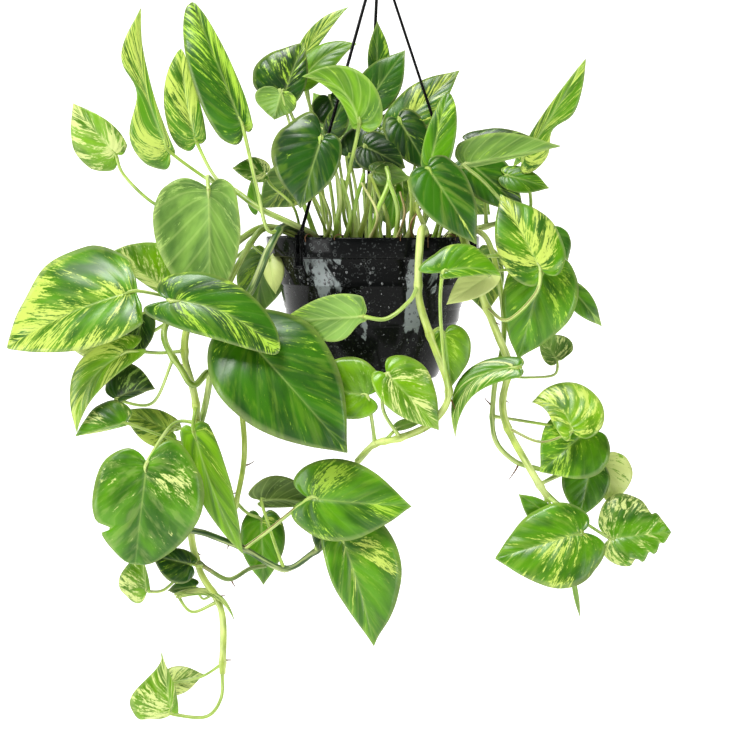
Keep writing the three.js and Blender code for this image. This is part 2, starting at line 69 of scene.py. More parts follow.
# Where each strand clips onto the rim, in degrees from +X towards +Y.
STRANDS = {"hanger_strand_left": 230, "hanger_strand_right": -26, "hanger_strand_back": 94}

# Colours of vines and stalks
MOSS, OLIVE, GRASS, PEA = (56, 96, 34), (110, 135, 60), (140, 170, 60), (174, 194, 80)
SPROUT, STRAW, RUST = (160, 200, 76), (204, 202, 130), (140, 92, 52)
# A leaf's greens, and the paler colours of its streaks
DARK, DEEP, MID, FRESH = (44, 82, 22), (60, 110, 22), (88, 144, 26), (114, 164, 30)
SOFT, DULL = (120, 160, 70), (92, 116, 52)
CREAM, BUTTER, LIME, SAGE = (206, 218, 142), (188, 208, 100), (160, 198, 70), (140, 172, 90)

# A vine is a centre line through a few points. One that starts with [x, y] comes up out of the mix there;
# one with a stem branches off that vine. Its colour turns from near to far part of the way along it,
# where turns says, and sheath is how brown an edge runs along it.
VINES = {
    "vine_left_long": dict(radius=3.6, near=MOSS, far=PEA, path=[
        [-52, -26], [-62, -36, 2], [-80, -55, 9], [-92, -72, -10], [-115, -68, -55], [-160, -60, -72],
        [-170, -58, -105], [-160, -56, -160], [-168, -50, -255], [-160, -50, -305], [-140, -50, -345],
        [-140, -46, -405]]),
    "vine_left_dark": dict(radius=3.2, near=GRASS, far=MOSS, turns=0.62, path=[
        [-66, 10], [-76, 12, 2], [-105, 16, 8], [-135, 0, -13], [-165, -25, -48], [-188, -60, -85],
        [-170, -72, -120], [-160, -72, -132], [-148, -60, -122], [-155, -44, -160], [-175, -45, -225],
        [-178, -66, -258], [-150, -62, -270], [-118, -55, -285], [-82, -50, -305], [-55, -50, -290],
        [-42, -50, -280]]),
    "vine_middle": dict(radius=3, near=GRASS, far=PEA, path=[
        [-64, -4], [-74, -6, 4], [-93, -14, 8], [-108, -23, 0], [-132, -38, -45], [-138, -42, -78],
        [-122, -42, -150], [-118, -44, -200], [-127, -42, -250]]),
    "vine_cross": dict(radius=2.3, near=OLIVE, far=OLIVE, stem="vine_left_long", path=[
        [-162, -50, -298], [-150, -58, -304], [-132, -58, -313], [-114, -46, -306], [-99, -42, -304]]),
    "vine_front": dict(radius=3.6, near=PEA, far=PEA, path=[
        [50, -66], [47, -79, 2], [44, -93, 8], [41, -105, -2], [40, -104, -50], [50, -101, -85],
        [67, -94, -135], [52, -93, -163], [24, -90, -177], [2, -80, -184], [-14, -60, -203]]),
    "vine_right_thin": dict(radius=2.6, near=PEA, far=GRASS, path=[
        [78, -14], [87, -17, 2], [96, -24, 5], [106, -36, -6], [115, -48, -42], [119, -50, -90],
        [110, -54, -140], [111, -52, -182], [130, -45, -205], [154, -38, -214]]),
    "vine_right_thick": dict(radius=3.7, near=PEA, far=PEA, path=[
        [62, -42], [70, -50, 1], [77, -64, 7], [84, -80, -12], [96, -84, -50], [112, -72, -88],
        [122, -66, -115], [117, -66, -148], [122, -66, -172], [140, -61, -205], [160, -56, -238]]),
    "stem_left_crown": dict(radius=3, near=OLIVE, far=GRASS, sheath=0.7, path=[
        [-48, -40], [-55, -48, 3], [-75, -61, 13], [-102, -64, 26], [-125, -54, 42], [-144, -42, 48]]),
    "stem_right_crown": dict(radius=3, near=GRASS, far=GRASS, path=[
        [72, 16], [83, 20, 3], [103, 24, 8], [127, 0, 13], [150, -22, 4]]),
}

# A leaf's stalk starts on the vine "stem", at the place "at" counted in points of that vine's path, or in
# the mix at "root", and runs through "via" to the blade, which goes from base to tip. width is how far its
# left and right halves reach, as seen on the upper face with the tip up. face is where that face looks:
# degrees from straight ahead of the plant towards +X, then upwards. bend arches the midrib towards the
# upper face and sweep towards the right. twist turns the blade about its length, curl is how far each
# half bends down, lobe scales how far the heart-shaped base reaches back, shoulder widens the blade between
# the base and its widest place, and full widens it from there to the tip. A pair of values is for the left
# and right halves. bites are gaps in the edge: (side, place along it, width, depth). sheath is how brown an
# edge runs along the stalk. look is the leaf's green, the colour of its paler streaks, how much of it they
# cover, and patches with more or less of them: (along the midrib, across from -1 to 1, reach along, reach
# across, amount).
LEAVES = {
    # upper left
    "leaf_far_left_top": dict(
        stem="stem_left_crown", at=4.8, via=[[-170, -32, 22], [-200, -28, 30], [-228, -24, 56]],
        base=[-235, -25, 75], tip=[-270, -40, 120], width=[29, 17], face=[-20, 10], lobe=[1.4, 0.5],
        sheath=0.9, look=(FRESH, CREAM, 0.34, (0.1, 0.2, 0.3, 0.6, 0.5), (0.5, -0.8, 0.5, 0.3, 0.3))),
    "leaf_left_twisted": dict(
        stem="stem_left_crown", at=4.8, via=[[-155, -36, 55]],
        base=[-183, -40, 76], tip=[-206, -50, 203], width=[31, 6], sweep=-34, twist=35, curl=35,
        lobe=[0.7, 0.2], bites=[(-1, 0.6, 0.1, 0.7)],
        look=(MID, BUTTER, 0.24, (0.8, 0, 0.3, 0.9, 0.3), (0.05, -0.6, 0.15, 0.5, 0.4))),
    "leaf_left_narrow": dict(
        stem="stem_left_crown", at=4.6, via=[[-148, -42, 62]],
        base=[-160, -36, 86], tip=[-172, -40, 168], width=[21, 12], sweep=-15, curl=35, full=1.6,
        lobe=[0.6, 0.3], look=(MID, BUTTER, 0.38, (0.6, 0.5, 0.5, 0.4, 0.2))),
    "leaf_left_tall": dict(
        stem="vine_left_long", at=2.4, via=[[-94, -74, 8], [-103, -70, 45]],
        base=[-115, -62, 96], tip=[-160, -56, 207], width=[27, 12], sweep=0, curl=[30, -50], full=2.2,
        lobe=[0.7, 0.3], sheath=0.6,
        look=(DEEP, LIME, 0.16, (0.3, 0.7, 0.9, 0.35, 0.45), (0.85, -0.3, 0.25, 0.8, 0.4))),
    "leaf_left_hanging": dict(
        stem="stem_left_crown", at=4.9, via=[[-147, -60, 54]],
        base=[-145, -75, 43], tip=[-145, -75, -62], width=[50, 28], full=1.5, face=[180, -5], lobe=0.6,
        look=(SOFT, SAGE, 0.06, (0.7, -1, 0.6, 0.12, 0.5), (0.7, 1, 0.6, 0.14, 0.5))),
    "leaf_left_behind": dict(
        stem="vine_middle", at=3.3, via=[[-135, -22, -24]],
        base=[-190, -25, -48], tip=[-239, -36, -15], width=[8, 34], full=1.4,
        look=(FRESH, CREAM, 0.34, (0.3, -0.5, 0.3, 0.5, 0.3))),
    "leaf_left_big": dict(
        stem="vine_left_dark", at=4.3, via=[[-188, -70, -52]],
        base=[-208, -88, -47], tip=[-325, -80, -98], width=[40, 58], face=[-10, 25], sweep=12, curl=35,
        shoulder=[1, 0.35], full=1.3, lobe=0.1,
        look=(MID, BUTTER, 0.24, (0.55, 0.1, 0.5, 0.25, 0.25), (0.6, -0.8, 0.35, 0.3, 0.35),
                                 (0.8, 0.8, 0.3, 0.3, 0.45), (0.3, 0.6, 0.3, 0.4, -0.25),
                                 (0.2, -0.5, 0.2, 0.4, -0.2))),
    "leaf_front_left": dict(
        stem="vine_left_long", at=4, via=[[-145, -88, -50]],
        base=[-177, -106, -54], tip=[-82, -113, -100], width=[28, 26], face=[0, 15], sweep=-45, curl=30,
        full=1.8, lobe=[0.8, 1.4],
        look=(DEEP, LIME, 0.18, (0.6, 0.2, 0.4, 0.35, 0.25), (0.2, -0.6, 0.2, 0.4, -0.1))),
    "leaf_front_big": dict(
        stem="vine_middle", at=4.8, via=[[-126, -72, -76]],
        base=[-113, -92, -86], tip=[-22, -106, -188], width=[50, 52], shoulder=[0.6, 1], full=1.1, bend=25,
        look=(DEEP, LIME, -0.06, (0.85, 0.4, 0.15, 0.3, 0.3), (0.5, 0.1, 0.5, 0.15, 0.1))),
    "leaf_left_pointed": dict(
        stem="vine_left_long", at=5.95, via=[[-192, -64, -104]],
        base=[-218, -66, -102], tip=[-267, -66, -176], width=[13, 20], sweep=65, curl=[30, 40], sheath=0.8,
        look=(FRESH, BUTTER, 0.26, (0.6, 0.8, 0.5, 0.3, 0.3))),
    "leaf_left_dark": dict(
        stem="vine_left_dark", at=9.5, via=[[-196, -50, -180]],
        base=[-224, -60, -168], tip=[-270, -60, -180], width=[3, 24], lobe=[0.5, 1.2], sheath=1.0,
        look=(MID, CREAM, 0.24, (0.4, -0.8, 0.5, 0.4, 0.4))),
    "leaf_left_heart": dict(
        stem="vine_left_long", at=7.1, via=[[-182, -56, -170]],
        base=[-201, -88, -200], tip=[-213, -88, -292], width=[54, 44], full=2,
        face=[8, 25], lobe=[1.9, 0.9],
        bites=[(1, 0.72, 0.02, 0.35)],
        look=(MID, CREAM, -0.14, (0.1, -0.5, 0.2, 0.3, 0.55), (0.12, 0.7, 0.15, 0.35, 0.3))),
    "leaf_left_folded": dict(
        stem="vine_left_long", at=6.9, via=[[-161, -64, -160]],
        base=[-162, -68, -172], tip=[-118, -68, -287], width=[18, 15], full=1.2,
        sweep=12, curl=40, lobe=0.3,
        look=(FRESH, BUTTER, -0.05, (0.4, -0.6, 0.6, 0.4, 0.15))),
    # lower middle
    "leaf_low_grey": dict(
        stem="vine_left_dark", at=14, via=[[-90, -60, -278]],
        base=[-102, -56, -240], tip=[-50, -48, -247], width=[8, 22], face=[180, 0], sweep=25,
        lobe=[0.5, 1.6], look=(DULL, SAGE, 0.06)),
    "leaf_low_hanging": dict(
        stem="vine_middle", at=7.9, via=[[-116, -36, -256]],
        base=[-104, -32, -262], tip=[-102, -35, -324], width=[22, 20],
        look=(MID, BUTTER, -0.02, (0.02, -0.3, 0.2, 0.8, 0.5))),
    "leaf_low_heart": dict(
        stem="vine_left_dark", at=13, via=[[-95, -70, -265]],
        base=[-57, -82, -233], tip=[35, -84, -240], width=[38, 36], face=[0, 5], bend=25, lobe=1.3,
        sheath=1.0, look=(MID, LIME, 0.02, (0.15, -0.5, 0.25, 0.45, 0.45), (0.75, 0.3, 0.3, 0.4, 0.25))),
    "leaf_low_big": dict(
        stem="vine_left_dark", at=15.9, via=[[-36, -60, -271]],
        base=[-30, -76, -266], tip=[1, -78, -370], width=[44, 22], sweep=-12, curl=32, lobe=[1, 0.7],
        look=(MID, BUTTER, 0.02, (0.2, -0.6, 0.25, 0.3, 0.4), (0.6, 0.1, 0.5, 0.15, 0.2))),
    "leaf_low_pale": dict(
        stem="vine_left_long", at=8.8, via=[[-178, -40, -312], [-195, -38, -328]],
        base=[-210, -42, -328], tip=[-216, -42, -290], width=[24, 4], lobe=[2.2, 0.5],
        look=(FRESH, CREAM, 0.3, (0, -0.8, 0.3, 0.4, 0.5))),
    "leaf_low_arched": dict(
        stem="vine_left_long", at=9.8, via=[[-166, -60, -343]],
        base=[-178, -64, -326], tip=[-126, -68, -350], width=[4, 5], face=[0, 60], sweep=-100, lobe=0.3,
        look=(MID, CREAM, 0.35, (0.05, 0, 0.3, 1, 0.5))),
    "leaf_lowest": dict(
        stem="vine_left_long", at=10.95, via=[[-142, -44, -430], [-156, -48, -446]],
        base=[-187, -54, -441], tip=[-196, -50, -384], width=[36, 8], curl=20,
        full=[0.45, 0.75], lobe=[0.5, 0.3],
        look=(FRESH, CREAM, 0.3, (0.1, -0.5, 0.3, 0.4, 0.35))),
    "leaf_lowest_pale": dict(
        stem="vine_left_long", at=10.85, via=[[-162, -40, -411]],
        base=[-195, -28, -421], tip=[-160, -26, -412], width=[14, 13],
        look=(SOFT, CREAM, 0.4)),
    # in front of the pot
    "leaf_front_pale": dict(
        stem="vine_front", at=3.8, via=[[32, -114, -54], [12, -121, -69]],
        base=[-8, -110, -68], tip=[-84, -79, -75], width=[21, 22], face=[180, 0],
        shoulder=[1, 0.3], lobe=0.4, sheath=0.6, bites=[(1, 0.38, 0.11, 0.6)],
        look=(SOFT, LIME, 0.1, (0.5, -0.9, 0.5, 0.2, 0.3))),
    "leaf_below_pot_left": dict(
        stem="vine_front", at=9, via=[[-1, -90, -160]],
        base=[-5, -92, -139], tip=[-62, -76, -130], width=[24, 32], face=[0, 0], lobe=1.4,
        look=(FRESH, SAGE, 0.15)),
    "leaf_below_pot_right": dict(
        stem="vine_front", at=8, via=[[9, -99, -150]],
        base=[12, -106, -118], tip=[58, -106, -168], width=[28, 20],
        look=(FRESH, CREAM, 0.22, (0.5, -0.4, 0.4, 0.3, 0.25))),
    "leaf_pot_right": dict(
        stem="vine_front", at=6, via=[[62, -112, -105], [58, -121, -60]],
        base=[60, -121, -29], tip=[111, -114, -33], width=[22, 8], sweep=-40, curl=[30, 40],
        lobe=[2.6, 0.5], sheath=0.8, look=(MID, LIME, 0.28)),
    "leaf_right_hidden": dict(
        stem="vine_front", at=5, via=[[57, -93, -80]],
        base=[63, -88, -84], tip=[70, -85, -132], width=[22, 11],
        look=(FRESH, LIME, 0.12, (0.4, -0.3, 0.4, 0.3, 0.3))),
    "leaf_right_bowed": dict(
        stem="vine_right_thick", at=6, via=[[126, -80, -113]],
        base=[130, -92, -114], tip=[73, -97, -176], width=[12, 12], lobe=0.2, face=[0, 40], sweep=95,
        look=(MID, CREAM, 0.22, (0.4, -0.4, 0.5, 0.3, 0.3))),
    # right
    "leaf_right_variegated": dict(
        stem="vine_right_thick", at=4.3, via=[[118, -98, -72], [142, -104, -48]],
        base=[146, -100, -28], tip=[112, -80, 38], width=[28, 30], curl=35, sheath=0.7,
        look=(MID, BUTTER, 0.3, (0.5, 0.1, 0.5, 0.3, 0.25))),
    "leaf_right_big": dict(
        stem="vine_right_thick", at=3.3, via=[[105, -92, -16], [130, -84, -20]],
        base=[152, -78, -26], tip=[130, -72, -108], width=[36, 30], curl=35, full=1.1,
        look=(MID, LIME, 0.1, (0.15, -0.7, 0.25, 0.3, 0.35))),
    "leaf_right_low_pale": dict(
        stem="vine_right_thick", at=6.3, via=[[140, -56, -127], [165, -51, -125]],
        base=[168, -50, -112], tip=[152, -45, -88], width=[20, 10], face=[180, 0], lobe=0.5,
        look=(SOFT, CREAM, 0.15)),
    "leaf_right_dark": dict(
        root=[33, -48], via=[[34, -72, 20], [36, -98, 50]],
        base=[47, -108, 60], tip=[90, -110, -6], width=[24, 25], lobe=0.5,
        look=(DEEP, BUTTER, -0.04, (0.75, 0.05, 0.45, 0.14, 0.6))),
    "leaf_right_upright": dict(
        root=[46, -40], via=[[47, -60, 28]],
        base=[50, -78, 62], tip=[66, -72, 127], width=[10, 17], lobe=0.4, curl=20, full=2,
        look=(MID, LIME, 0.08, (0.2, 0, 0.3, 0.3, 0.2))),
    "leaf_right_pale": dict(
        stem="stem_right_crown", at=3.3, via=[[116, -44, 32], [98, -62, 50]],
        base=[80, -68, 64], tip=[168, -58, 81], width=[4, 23], face=[180, 0], lobe=0.5,
        look=(SOFT, LIME, 0, (0.3, 0.2, 0.2, 0.2, 0.3))),
    "leaf_right_tall": dict(
        stem="stem_right_crown", at=3.7, via=[[146, -10, 35]],
        base=[137, -22, 70], tip=[192, -34, 160], width=[8, 19], full=1.3, sweep=10, twist=25, lobe=0.7,
        bites=[(1, 0.55, 0.07, 0.6)],
        look=(MID, BUTTER, 0.3)),
    "leaf_right_deep": dict(
        root=[60, -16], via=[[72, -20, 38]],
        base=[88, -18, 68], tip=[140, -13, 22], width=[24, 22], look=(DEEP, LIME, 0.02)),
    # top middle
    "leaf_top_dark": dict(
        root=[8, 20], via=[[0, 18, 52]], base=[-3, 4, 125], tip=[30, -3, 171], width=[20, 20],
        look=(DEEP, SAGE, -0.05)),
    "leaf_top_right": dict(
        root=[30, -8], via=[[26, -10, 50]], base=[23, -13, 98], tip=[80, -10, 152], width=[22, 18],
        look=(DEEP, BUTTER, 0.24, (0.4, -0.2, 0.5, 0.3, 0.3))),
    "leaf_top_bright": dict(
        root=[-34, 0], via=[[-42, -4, 60]],
        base=[-64, -15, 143], tip=[-14, -18, 175], width=[14, 16], sweep=-45, look=(FRESH, LIME, -0.06)),
    "leaf_top_left": dict(
        root=[-44, -8], via=[[-52, -20, 55]],
        base=[-80, -42, 126], tip=[-62, -38, 174], width=[34, 16], curl=35, look=(DARK, LIME, 0.12)),
    "leaf_top_pale": dict(
        root=[-18, -44], via=[[-26, -62, 28]],
        base=[-12, -80, 97], tip=[-62, -78, 140], width=[25, 8], face=[180, 0], sweep=-80,
        lobe=[0.6, 0.2], look=(FRESH, LIME, -0.02, (0.9, 0, 0.2, 0.8, 0.3))),
    "leaf_top_heart": dict(
        root=[-34, -52], via=[[-29, -76, 42]],
        base=[-44, -98, 86], tip=[-63, -98, 25], width=[22, 40], lobe=[0.7, 2.2],
        look=(DARK, LIME, -0.12, (0.4, 0.6, 0.12, 0.15, 0.55))),
    # lower right
    "leaf_cluster_top": dict(
        stem="vine_right_thick", at=8, via=[[150, -82, -182]],
        base=[177, -86, -172], tip=[143, -68, -148], width=[14, 33], sweep=85, curl=20, sheath=0.8,
        look=(FRESH, BUTTER, 0.32, (0.3, 0.6, 0.5, 0.3, 0.2))),
    "leaf_cluster_round": dict(
        stem="vine_right_thin", at=6.5, via=[[145, -57, -168]],
        base=[194, -60, -176], tip=[151, -66, -212], width=[36, 30], lobe=1.5, look=(MID, LIME, 0.26)),
    "leaf_cluster_low": dict(
        stem="vine_right_thick", at=9.95, via=[[175, -68, -248]],
        base=[188, -82, -264], tip=[110, -82, -288], width=[44, 32], full=1.1, lobe=[1.5, 1],
        look=(MID, BUTTER, 0.14, (0.3, -0.15, 0.4, 0.3, 0.35), (0.5, -0.9, 0.4, 0.2, 0.3))),
    "leaf_cluster_ragged": dict(
        stem="vine_right_thick", at=9.7, via=[[180, -46, -252]],
        base=[216, -62, -274], tip=[272, -62, -268], width=[40, 27], full=1.2, lobe=1.1,
        bites=[(1, 0.56, 0.03, 0.2), (1, 0.68, 0.03, 0.26), (1, 0.8, 0.03, 0.35), (-1, 0.75, 0.04, 0.3)],
        look=(MID, CREAM, 0.36)),
}

# Small leaves that only the scene has, in the same form.
EXTRA_LEAVES = {
    "leaf_left_curled": dict(
        stem="vine_left_dark", at=5.6, via=[[-200, -58, -150]],
        base=[-234, -52, -147], tip=[-197, -58, -137], width=[30, 6], sweep=-30, look=(DARK, SAGE, 0.06)),
    "leaf_left_cream": dict(
        stem="vine_left_dark", at=9.4, via=[[-180, -32, -176]],
        base=[-186, -28, -180], tip=[-232, -34, -160], width=[20, 14], look=(SOFT, BUTTER, 0.5)),
    "leaf_left_cream_high": dict(
        stem="vine_left_dark", at=4.8, via=[[-205, -40, -88]],
        base=[-228, -45, -94], tip=[-285, -50, -92], width=[22, 8], look=(SOFT, CREAM, 0.8)),
    "leaf_left_shaded": dict(
        stem="vine_left_dark", at=4.7, via=[[-198, -48, -66]],
        base=[-210, -44, -70], tip=[-216, -46, -112], width=[14, 12], look=(DARK, SAGE, 0.05)),
    "leaf_low_round": dict(
        stem="vine_cross", at=0.4, via=[[-158, -60, -300]],
        base=[-166, -62, -298], tip=[-202, -62, -290], width=[20, 12], look=(DARK, LIME, 0)),
    "leaf_low_shaded": dict(
        stem="vine_left_long", at=9.6, via=[[-158, -44, -335]],
        base=[-164, -48, -322], tip=[-190, -48, -326], width=[8, 9], look=(DARK, SAGE, 0.05)),
    "leaf_behind_heart": dict(
        stem="vine_left_dark", at=15.2, via=[[-52, -56, -282]],
        base=[-44, -60, -262], tip=[-50, -62, -286], width=[14, 10], look=(DARK, SAGE, 0.04)),
    "leaf_pot_right_pale": dict(
        stem="vine_right_thick", at=3.8, via=[[98, -92, -34]],
        base=[104, -94, -32], tip=[64, -104, -58], width=[12, 16], curl=15, look=(SAGE, CREAM, 1.2)),
    "leaf_inner_left": dict(
        root=[-66, -12], via=[[-72, -28, 26], [-92, -30, 46]],
        base=[-98, -32, 57], tip=[-128, -34, 62], width=[10, 14], look=(MID, CREAM, 0.3)),
    "leaf_behind_strap": dict(
        stem="vine_middle", at=3.2, via=[[-104, -30, -14]],
        base=[-94, -40, -20], tip=[-88, -48, -52], width=[12, 8], look=(SAGE, CREAM, 1.0)),
    "leaf_inner_left_low": dict(
        root=[-60, -22], via=[[-88, -40, 20]],
        base=[-104, -40, 24], tip=[-110, -40, 52], width=[8, 6], look=(MID, SAGE, 0.1)),
    "leaf_cluster_dark": dict(
        stem="vine_right_thick", at=9.6, via=[[180, -48, -215]],
        base=[200, -46, -210], tip=[190, -50, -258], width=[20, 24], look=(MID, SAGE, 0)),
    "leaf_cluster_cream": dict(
        stem="vine_right_thick", at=9.6, via=[[196, -36, -205]],
        base=[214, -34, -206], tip=[222, -38, -250], width=[24, 14], look=(FRESH, CREAM, 0.85)),
    "leaf_cluster_thin": dict(
        stem="vine_right_thick", at=9.9, via=[[158, -58, -244]],
        base=[160, -62, -252], tip=[132, -66, -232], width=[14, 8], look=(MID, SAGE, 0.08)),
    "leaf_cluster_drip": dict(
        stem="vine_right_thick", at=9.9, via=[[182, -66, -290]],
        base=[183, -70, -312], tip=[189, -70, -346], width=[2, 3], look=(SOFT, CREAM, 0.2)),
    "leaf_right_small": dict(
        stem="vine_right_thick", at=3.5, via=[[150, -66, -30]],
        base=[178, -62, -46], tip=[206, -62, -80], width=[10, 12], look=(MID, SAGE, 0.1)),
    "leaf_right_point": dict(
        stem="stem_right_crown", at=2.8, via=[[118, -14, 40]],
        base=[122, -20, 56], tip=[162, -24, 44], width=[12, 14], look=(MID, LIME, 0.15)),
    "leaf_right_back": dict(
        stem="stem_right_crown", at=2.2, via=[[104, 12, 50]],
        base=[92, 4, 88], tip=[158, 0, 88], width=[12, 14], look=(DARK, SAGE, 0.05)),
    "leaf_right_corner": dict(
        stem="stem_right_crown", at=4, via=[[158, -28, 2]],
        base=[164, -34, 4], tip=[178, -38, -22], width=[12, 8], look=(DEEP, SAGE, 0.1)),
    "leaf_top_point": dict(
        root=[2, 26], via=[[2, 26, 90]], base=[4, 20, 150], tip=[4, 16, 200], width=[9, 12],
        look=(DEEP, LIME, 0.1, (0.4, 0.8, 0.5, 0.2, 0.6))),
    "leaf_top_slim": dict(
        root=[-40, 4], via=[[-54, 4, 90]], base=[-64, 0, 165], tip=[-22, -4, 210], width=[10, 7], sweep=-25,
        look=(MID, BUTTER, 0.28)),
    "leaf_top_curl": dict(
        root=[-40, -20], via=[[-60, -40, 50]],
        base=[-82, -50, 128], tip=[-88, -56, 104], width=[22, 16], face=[180, 20],
        look=(SOFT, LIME, 0.1)),
    "leaf_inner_middle": dict(
        root=[-6, -20], via=[[-8, -24, 40]], base=[-8, -26, 82], tip=[30, -30, 62], width=[20, 20],
        look=(DARK, SAGE, -0.1)),
    "leaf_inner_right": dict(
        root=[22, -16], via=[[26, -16, 45]], base=[24, -20, 106], tip=[52, -24, 58], width=[20, 20],
        look=(DARK, LIME, -0.05)),
    "leaf_inner_shade": dict(
        root=[-12, 0], via=[[-16, 0, 45]], base=[-22, -6, 74], tip=[12, -8, 98], width=[20, 18],
        look=(DARK, SAGE, -0.1)),
    "leaf_inner_back": dict(
        root=[-20, 10], via=[[-30, 8, 60]], base=[-40, 0, 128], tip=[-30, -4, 96], width=[18, 20],
        look=(DARK, SAGE, -0.1)),
    "leaf_inner_wide": dict(
        root=[14, 6], via=[[12, 6, 50]], base=[8, 0, 98], tip=[66, -2, 80], width=[22, 22],
        look=(DARK, LIME, 0.06)),
    "leaf_inner_low": dict(
        root=[4, -34], via=[[2, -40, 30]], base=[0, -42, 58], tip=[34, -44, 52], width=[12, 12],
        look=(SOFT, CREAM, 0.1)),
    "leaf_inner_pale": dict(
        root=[24, -30], via=[[22, -34, 16]], base=[20, -38, 44], tip=[16, -44, 4], width=[9, 9],
        look=(MID, LIME, 0.2)),
    "leaf_inner_spur": dict(
        root=[-30, -6], via=[[-34, -8, 60]], base=[-40, -12, 96], tip=[-24, -18, 128], width=[8, 14],
        look=(DARK, LIME, 0.08)),
    "leaf_front_small": dict(
        stem="vine_front", at=8.6, via=[[16, -90, -174]], base=[22, -88, -168], tip=[46, -86, -162],
        width=[6, 4], look=(SOFT, SAGE, 0.2)),
    # the back of the plant
    "leaf_back_middle": dict(
        root=[6, 56], via=[[10, 72, 30]], base=[14, 82, 54], tip=[20, 98, 6], width=[26, 28],
        face=[180, 25], look=(MID, LIME, 0.16)),
    "leaf_back_left": dict(
        root=[-36, 46], via=[[-56, 60, 34]], base=[-68, 68, 58], tip=[-112, 82, 26], width=[26, 26],
        face=[200, 25], look=(DEEP, BUTTER, 0.22)),
    "leaf_back_right": dict(
        root=[44, 44], via=[[58, 58, 30]], base=[70, 66, 52], tip=[116, 78, 20], width=[28, 26],
        face=[160, 25], look=(FRESH, BUTTER, 0.3)),
    "leaf_back_tall": dict(
        root=[-14, 40], via=[[-22, 52, 50]], base=[-28, 58, 92], tip=[-58, 66, 138], width=[24, 24],
        face=[190, 20], look=(MID, CREAM, 0.2)),
    "leaf_back_upright": dict(
        root=[26, 36], via=[[36, 46, 45]], base=[44, 50, 84], tip=[74, 60, 122], width=[22, 24],
        face=[170, 25], look=(MID, LIME, 0.12)),
    "leaf_back_low_left": dict(
        root=[-62, 40], via=[[-84, 58, 10], [-98, 66, -6]], base=[-104, 68, -20], tip=[-118, 70, -84],
        width=[28, 30], face=[215, 15], look=(DEEP, LIME, 0.14)),
    "leaf_back_low_right": dict(
        root=[64, 40], via=[[84, 56, 10], [97, 64, -6]], base=[102, 66, -18], tip=[112, 70, -78],
        width=[28, 26], face=[150, 15], look=(MID, BUTTER, 0.26)),
}

# ---------------------------------------------------------------- curves and colours
ASLANT = (0.31, 0.22, 1)  # a direction that no rod here starts along and no box has a side along
SHEEN = 0.012  # linear light that a waxy leaf sends back over its own colour


def unit(vectors):
    return vectors / np.maximum(np.linalg.norm(vectors, axis=-1, keepdims=True), 1e-9)


def columns(*values):
    """Rows made of the values side by side, each of them an array or one number for all."""
    return np.stack(np.broadcast_arrays(*values), -1)


def circle(sides):
    """The angles of so many points evenly round a circle."""
    return np.arange(sides) * 2 * math.pi / sides


def around(angle):
    """The level directions away from the pot's axis and along its wall, at an azimuth in radians."""
    outward = np.array([math.cos(angle), math.sin(angle), 0])
    return outward, np.array([-outward[1], outward[0], 0])


def smooth(points, t):
    """The smooth curve through the points, at each t from 0 to 1."""
    points = np.asarray(points, float)
    spans = len(points) - 1
    place = np.clip(np.asarray(t, float), 0, 1) * spans
    i = np.minimum(place.astype(int), spans - 1)
    k = (place - i)[:, None]
    padded = np.vstack([2 * points[0] - points[1], points, 2 * points[-1] - points[-2]])
    a, b, c, d = padded[i], padded[i + 1], padded[i + 2], padded[i + 3]
    cubic = (3 * b - a - 3 * c + d) * k**3
    return 0.5 * (2 * b + (c - a) * k + (2 * a - 5 * b + 4 * c - d) * k**2 + cubic)


def even_steps(points, step):
    """Points no more than step apart along the smooth curve, and each one's distance along it."""
    dense = smooth(points, np.linspace(0, 1, 24 * len(points)))
    run = np.concatenate([[0], np.cumsum(np.linalg.norm(np.diff(dense, axis=0), axis=1))])
    distance = np.linspace(0, run[-1], max(3, math.ceil(run[-1] / step)) + 1)
    return columns(*(np.interp(distance, run, dense[:, axis]) for axis in range(3))), distance


def bump(x, centre, width):
    """1 at the centre, and falling away on both sides of it."""
    return np.exp(-(((x - centre) / width) ** 2))


def linear(colour):
    """An sRGB colour, 0 to 255, as linear light."""
    part = np.asarray(colour, float) / 255
    return np.where(part <= 0.04045, part / 12.92, ((part + 0.055) / 1.055) ** 2.4)


def leaf_colour(colour):
    """Linear colour of a leaf without the sheen that lies over it in daylight."""
    return np.maximum(linear(colour) * (1, 1, 0.9) - SHEEN, 0.001)


# ---------------------------------------------------------------- meshes
# What a point carries for the materials: its own colour, the colour of its pale parts, its place along
# and across the grain in millimetres, how it is painted, and lines that follow the shape.
FIELDS = ("tone", "pale", "grain", "paint", "lines")
NOTHING = (0, 0, 0)
SIGNS = list(itertools.product((-1, 1), repeat=3))  # the eight corners of a box


